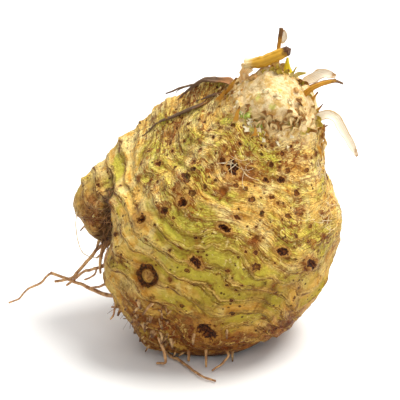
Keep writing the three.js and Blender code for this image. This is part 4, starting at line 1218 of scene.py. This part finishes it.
def dry_strips(finish):
    """Dried strips of leaf base along the shoulder, and a forked dry twig over it."""
    strands = Strands()
    strips = [
        (1.9, UPPER_STRIP, (-0.6, 0.9, 1.4, 1.8, 1.1, -0.6)),
        (1.2, LOWER_STRIP, (-0.6, 0.3, 0.5, 0.5, 0.4, 0.4, 0.2, -0.6)),
        (1.0, [(8, -2, 117), (2, 4, 114.5), (-4, 8, 111.5), (-8, 12, 109)], (-0.5, 0.6, 0.7, -0.3)),
    ]
    for k, (half, route, lifts) in enumerate(strips):
        spots, normals = onto_body(np.array(route, float))
        spots = spots + normals * (np.array(lifts) + 0.5 * np.maximum(surface_height(spots), 0))[:, None]
        face = unit(normals[2] + np.array([0.2, 0.25, 0.3]))
        shape = lambda share, half=half: half * (1.3 - 0.6 * share - 0.6 * np.abs(2 * share - 0.7) ** 2)
        strands.blade(spots, shape, 0.3, taper(0.5, 0.9), face, 7, 30, k * 13, 0.5)
    strands.tube(TWIG, taper(0.65, 0.38), taper(0.6, 0.35), 7, 24, seed=5, wander=0.5)
    strands.tube(TWIG_FORK, taper(0.35, 0.2), taper(0.35, 0.2), 6, 10, seed=9, wander=0.3)
    strands.piece("dry_strips", finish)


def big_stalk(finish):
    """The big ochre stalk that leans to the right."""
    strands = Strands()
    route = [(13.4, 2.4, 128.2), (16.4, 1.6, 128.5), (21.7, -0.5, 130.3)]
    route += [(27, -2.4, 133.2), (31.7, -4, 135.8)]
    swell = lambda share: 2.25 + 0.55 * np.sin(math.pi * share) ** 2
    strands.tube(route, swell, lambda share: 0.86 * swell(share), 26, 46, (0, -0.3, 1), 9, 0.9, 12)
    strands.piece("stalk_top", finish, "leaf_stalk", "leaf_stalk_top")


def big_stalk_flap(finish):
    """The torn skin and rib that carry the big stalk on the crown's left."""
    strands = Strands()
    route = [(15, 0.2, 128), (13.2, 1.4, 124.4), (13.6, 2.2, 119), (15.5, 2.6, 114)]
    shape = lambda share: 1.4 + 1.3 * (1 - share) ** 1.5
    strands.blade(route, shape, 0.35, taper(0.9, 0.6), (0, -1, 0.2), 8, 16, 44, 0.35)
    strands.tube(route[1:], taper(0.9, 0.8), taper(0.8, 0.7), 10, 16, TOWARD_CAMERA, 5, 0.3, 47)
    strands.piece("stalk_top_flap", finish, "dried_stalk", "leaf_stalk_top")


def thin_stalk(finish):
    """The thin upright stalk behind the big one's end."""
    strands = Strands()
    route = [(28, 8.8, 118), (27.8, 8.6, 127), (28.2, 8.2, 135), (29, 7.6, 142.4)]
    strands.tube(route, taper(0.7, 0.95), taper(0.7, 0.7), 12, 24, TOWARD_CAMERA, 5, 0.5, 4)
    strands.piece("stalk_thin", finish, "leaf_stalk", "leaf_stalk_thin")


def thin_stalk_film(finish):
    """The pale film beside the thin stalk's top."""
    strands = Strands()
    route = [(29.2, 8.1, 135.6), (30.1, 8, 137.4), (30.4, 8, 139.4), (29.9, 7.8, 141.4)]
    shape = lambda share: 0.5 + 0.8 * np.sin(math.pi * share) ** 0.7
    strands.blade(route, shape, 0.25, taper(0.4, 0.5), (0, -1, 0.1), 9, 18, 61, 0.2)
    strands.piece("stalk_film", finish, "dried_stalk", "leaf_stalk_thin")


def leaf_bud(finish):
    """The small yellow bud at the crown's far edge."""
    strands = Strands()
    route = [(33.2, 3, 117), (32.2, 2.6, 123), (31.5, 2.4, 127.5), (31.7, 2, 131)]
    swell = lambda share: 1.1 + 0.9 * np.sin(math.pi * share) ** 2 - 0.6 * share**2
    strands.tube(route, swell, taper(0.8, 0.4), 12, 22, TOWARD_CAMERA, 4, 0, 8)
    strands.piece("bud", finish, "leaf_bud", "leaf_bud")


def right_blade(finish):
    """The pale flat blade that points to the upper right."""
    strands = Strands()
    route = [(34.5, 2.5, 114), (38.6, 2, 119.2), (42.5, 1, 122), (47, 0, 124.4), (52, -1.5, 123.6)]
    shape = lambda share: np.interp(share, np.linspace(0, 1, 5), [0.8, 1.5, 2.3, 2.3, 0.9])
    strands.blade(route, shape, 0.4, taper(0.3, 0.6), (-0.15, -0.8, 0.6), 9, 30, 31, 0.15)
    strands.piece("stalk_right", finish, "dried_stalk", "leaf_stalk_right")


def right_blade_rib(finish):
    """The brown rib along the blade's lower edge."""
    strands = Strands()
    route = [(38.6, 1.2, 117.6), (43, 0.2, 119.6), (47.4, -1, 121.4), (52.3, -2.2, 122.4)]
    strands.tube(route, taper(0.4, 0.6), taper(0.4, 0.5), 8, 22, TOWARD_CAMERA, 3, 0.2, 33)
    strands.piece("stalk_right_rib", finish, "leaf_stalk", "leaf_stalk_right")


def low_stalk(finish):
    """The ochre stalk under the blade, which ends in a dark tip."""
    strands = Strands()
    route = [(36, -5.5, 113.5), (40, -6.2, 118.6), (43, -7, 121)]
    route += [(47.6, -8, 123), (51.5, -9, 124), (54.6, -10, 123.2)]
    swell = lambda share: 1.35 - 0.9 * share**2.5
    strands.tube(route, swell, taper(0.95, 0.4), 14, 34, (0, -0.6, 0.8), 6, 0.3, 15)
    strands.piece("stalk_low", finish, "leaf_stalk", "leaf_stalk_low")


def curled_sheath(finish):
    """The pale sheath that curls over and hangs down at the right."""
    strands = Strands()
    route = [(36.5, -9, 103.5), (42.5, -10, 106.8), (45.2, -10.5, 108.8), (48.3, -11, 109.8)]
    route += [(51.6, -12, 108.3), (53.8, -13, 104.6), (57.2, -14, 99.2), (61, -15, 92.4)]
    widths = [0.6, 0.85, 1.15, 1.3, 1.15, 0.9, 0.75, 0.25]
    shape = lambda share: (1.2 + 1.2 * share) * np.interp(share, np.linspace(0, 1, 8), widths)
    strands.blade(route, shape, 0.35, taper(0.5, 0.9), (0.3, -0.75, 0.55), 11, 44, 51, 0.1)
    strands.piece("sheath_curled", finish, "dried_stalk", "leaf_sheath_curled")


def leaf_stalks():
    """The leaf stalks left on the crown. Each stands where its CAD solid does."""
    ochre = stalk_skin("ochre_stalk", "ecd9a6", "cf9c2c", "ac7a1a", "4f2d10", 0.84)
    bud = stalk_skin("bud_skin", "c9c048", "e0cf2c", "c4ad22", "d6bf3a", 0.92)
    ivory = stalk_skin("ivory_sheath", "ecd6ac", "f4e8d2", "e2cca4", "b07a34", 0.88, rim="c89c5c")
    low = stalk_skin("low_stalk", "d8b25a", "c28a26", "8f5c16", "6a451c", 0.72)
    tan = stalk_skin("tan_sheath", "f6d9a4", "f4cf94", "dba95e", "a86a24", 0.88)
    big_stalk(ochre)
    big_stalk_flap(tan)
    thin_stalk(low)
    thin_stalk_film(ivory)
    leaf_bud(bud)
    right_blade(ivory)
    right_blade_rib(low)
    low_stalk(low)
    curled_sheath(ivory)


def crown_flakes(finish):
    """Bits of flesh and leaf base torn up by the knife all over the crown."""
    rng = np.random.default_rng(SEED + 4)
    strands = Strands()
    for _ in range(CROWN_FLAKES):
        turn = rng.uniform(0, 2 * math.pi)
        base, normal = on_crown(rng.uniform(0, 13), turn)
        lean = unit(np.cross(normal, rng.normal(0, 1, 3)))
        size = rng.uniform(1.2, 3.2)
        tip = base + lean * size + normal * rng.uniform(0.3, 1.1)
        route = [base - normal * 0.8, base + lean * 0.4 * size + normal * 0.5, tip]
        half = rng.uniform(0.5, 1.3)
        shape = lambda share, half=half: half * (1 - 0.7 * share)
        strands.blade(route, shape, 0.26, taper(0.4, 0.6), normal, 5, 6, any_seed(rng), 0.45)
    strands.piece("crown_flakes", finish)


def crown_fringe(finish):
    """Yellow-green leaf-stalk remnants that stand up along the crown's far edge."""
    rng = np.random.default_rng(SEED + 5)
    strands = Strands()
    for px, py in FRINGE_PIXELS:
        base = seen_at([(px, py)])[0]
        normal = outward(base)
        size = rng.uniform(1.2, 5.0)
        sideways = np.array([rng.normal(0.1, 0.7), rng.normal(-0.2, 0.3), rng.normal(0.1, 0.4)])
        way = unit(0.8 * normal + sideways)
        bend = rng.normal(0, 0.22 * size, 3)
        route = [base - normal * 1.5, base + way * 0.5 * size, base + way * size + bend]
        half = rng.uniform(0.5, 1.8)
        shape = lambda share, half=half: half * (1 - 0.6 * share**2)
        strands.blade(route, shape, 0.35, taper(0.6, 0.8), (0.1, -0.9, 0.3), 7, 9, any_seed(rng), 0.5)
    strands.piece("crown_fringe", finish)


def cut_leaf_bases(finish):
    """Ovals of cut leaf stalks in the crown's flesh, a little proud of it."""
    strands = Strands()
    for px, py, wide, thick, shade in CUT_BASE_PIXELS:
        middle = seen_at([(px, py)])[0]
        normal = outward(middle)
        route = [middle - normal * 1.5, middle - normal * 0.4, middle + normal * 0.75]
        face = np.cross(normal, [0.8, 0.1, -0.5])
        strands.tube(route, taper(wide, 0.92 * wide), taper(thick, 0.9 * thick), 14, 7, face, 5, 0.5, px)
        strands.shade[-1][:] = shade
    strands.piece("cut_leaf_bases", finish)


def crown_film(finish):
    """The crumpled pale skin between the big stalk and the crown's far edge."""
    strands = Strands()
    routes = [
        (3.2, [(22, 6, 119), (24.6, 5, 123.4), (26, 4.5, 126.5), (25.4, 4.5, 128.4)]),
        (2.8, [(28, 5.5, 119), (28.6, 5, 123), (29.4, 4.5, 125.8), (28.6, 4, 127.2)]),
        (2.2, [(33, 4, 117), (33.2, 4, 120.5), (32.4, 4, 123.4)]),
    ]
    for k, (half, route) in enumerate(routes):
        shape = lambda share, half=half: half * (1 - 0.5 * share**3)
        strands.blade(route, shape, 0.3, taper(0.5, 1.4), (0.15, -0.95, 0.25), 9, 16, 210 + k, 0.5)
    strands.piece("crown_film", finish)


def place_camera():
    eye, _, _ = camera_axes()
    data = bpy.data.cameras.new("camera")
    data.sensor_width = SENSOR_MM
    data.lens = SENSOR_MM * CAMERA_AWAY / (2 * IMAGE_HALF * PIXEL_MM)
    data.clip_start = 0.01
    camera = bpy.data.objects.new("camera", data)
    camera.location = eye * MM
    camera.rotation_euler = (math.pi / 2 - CAMERA_DOWN, 0, 0)
    bpy.context.scene.collection.objects.link(camera)
    bpy.context.scene.camera = camera


def place_floor():
    corners = [(x * FLOOR_HALF_M, y * FLOOR_HALF_M, 0) for x, y in ((-1, -1), (1, -1), (1, 1), (-1, 1))]
    mesh = bpy.data.meshes.new("floor")
    mesh.from_pydata(corners, [], [(0, 1, 2, 3)])
    mesh.materials.append(Finish("floor").finish(tone("f7f6f5"), 0.9))
    floor = bpy.data.objects.new("floor", mesh)
    bpy.context.scene.collection.objects.link(floor)


def area_light(name, place, size, watts, color=(1, 1, 1)):
    """A round lamp at a place in metres."""
    data = bpy.data.lights.new(name, "AREA")
    data.shape = "DISK"
    data.size = size
    data.energy = watts
    data.color = color
    lamp = bpy.data.objects.new(name, data)
    lamp.location = place
    toward = LIGHTS_AIM_M - np.array(place)
    yaw = math.atan2(toward[1], toward[0])
    pitch = math.atan2(toward[2], math.hypot(toward[0], toward[1]))
    lamp.rotation_euler = (math.pi / 2 + pitch, 0, yaw - math.pi / 2)
    bpy.context.scene.collection.objects.link(lamp)


def place_lights():
    area_light("key", (0.55, 0.05, 1.25), 0.9, 23, (1, 0.99, 0.95))
    area_light("front", (0.3, -1.2, 1.1), 1.0, 4.5)
    area_light("back", (-0.25, 1.1, 1.3), 1.0, 8)
    world = bpy.data.worlds.new("studio")
    world.use_nodes = True
    background = world.node_tree.nodes["Background"]
    background.inputs["Color"].default_value = (1, 1, 1, 1)
    background.inputs["Strength"].default_value = WORLD_LIGHT
    bpy.context.scene.world = world


def main():
    bpy.context.scene.view_settings.view_transform = "Standard"
    place_camera()
    place_floor()
    place_lights()
    root_piece(root_skin())
    rootlets(fibre_skin("rootlet_skin", "cfa068", "96653a"))
    root_stubs(fibre_skin("stub_skin", "d3ad74", "8d5d31", "5a3619"))
    hairs = np.random.default_rng(SEED + 2)
    pale_hair = fibre_skin("pale_hair", "f1e2bf", "dcbf8a")
    dark_hair = fibre_skin("dark_hair", "a5713c", "5f3b1e")
    pale_root_hairs(hairs, pale_hair)
    dark_root_hairs(hairs, dark_hair)
    leaf_base_scales(stalk_skin("scale_skin", "a87636", "e2c68c", "c4964e", "8a5c26", 0.76, 1.0))
    crown_flakes(stalk_skin("flake_skin", "ead3a0", "f8ecc8", "e3c788", "c08a3c", 0.8, 0.9))
    crown_fringe(stalk_skin("fringe_skin", "d8c47c", "b7a03a", "94742a", "8a5a1c", 0.72, 0.9))
    cut_leaf_bases(cut_base_skin())
    crown_spikes(stalk_skin("spike_skin", "d9b86c", "cc9230", "a86c1e", "6f4112", 0.8))
    dry_strips(stalk_skin("dry_strip_skin", "a06a34", "7c6148", "49352a", "5a4430", 0.85, 0.7))
    leaf_stalks()
    crown_film(stalk_skin("film_skin", "d9bd7c", "e6d2a2", "c09a4e", "a87c3a", 0.85, 0.6))


main()
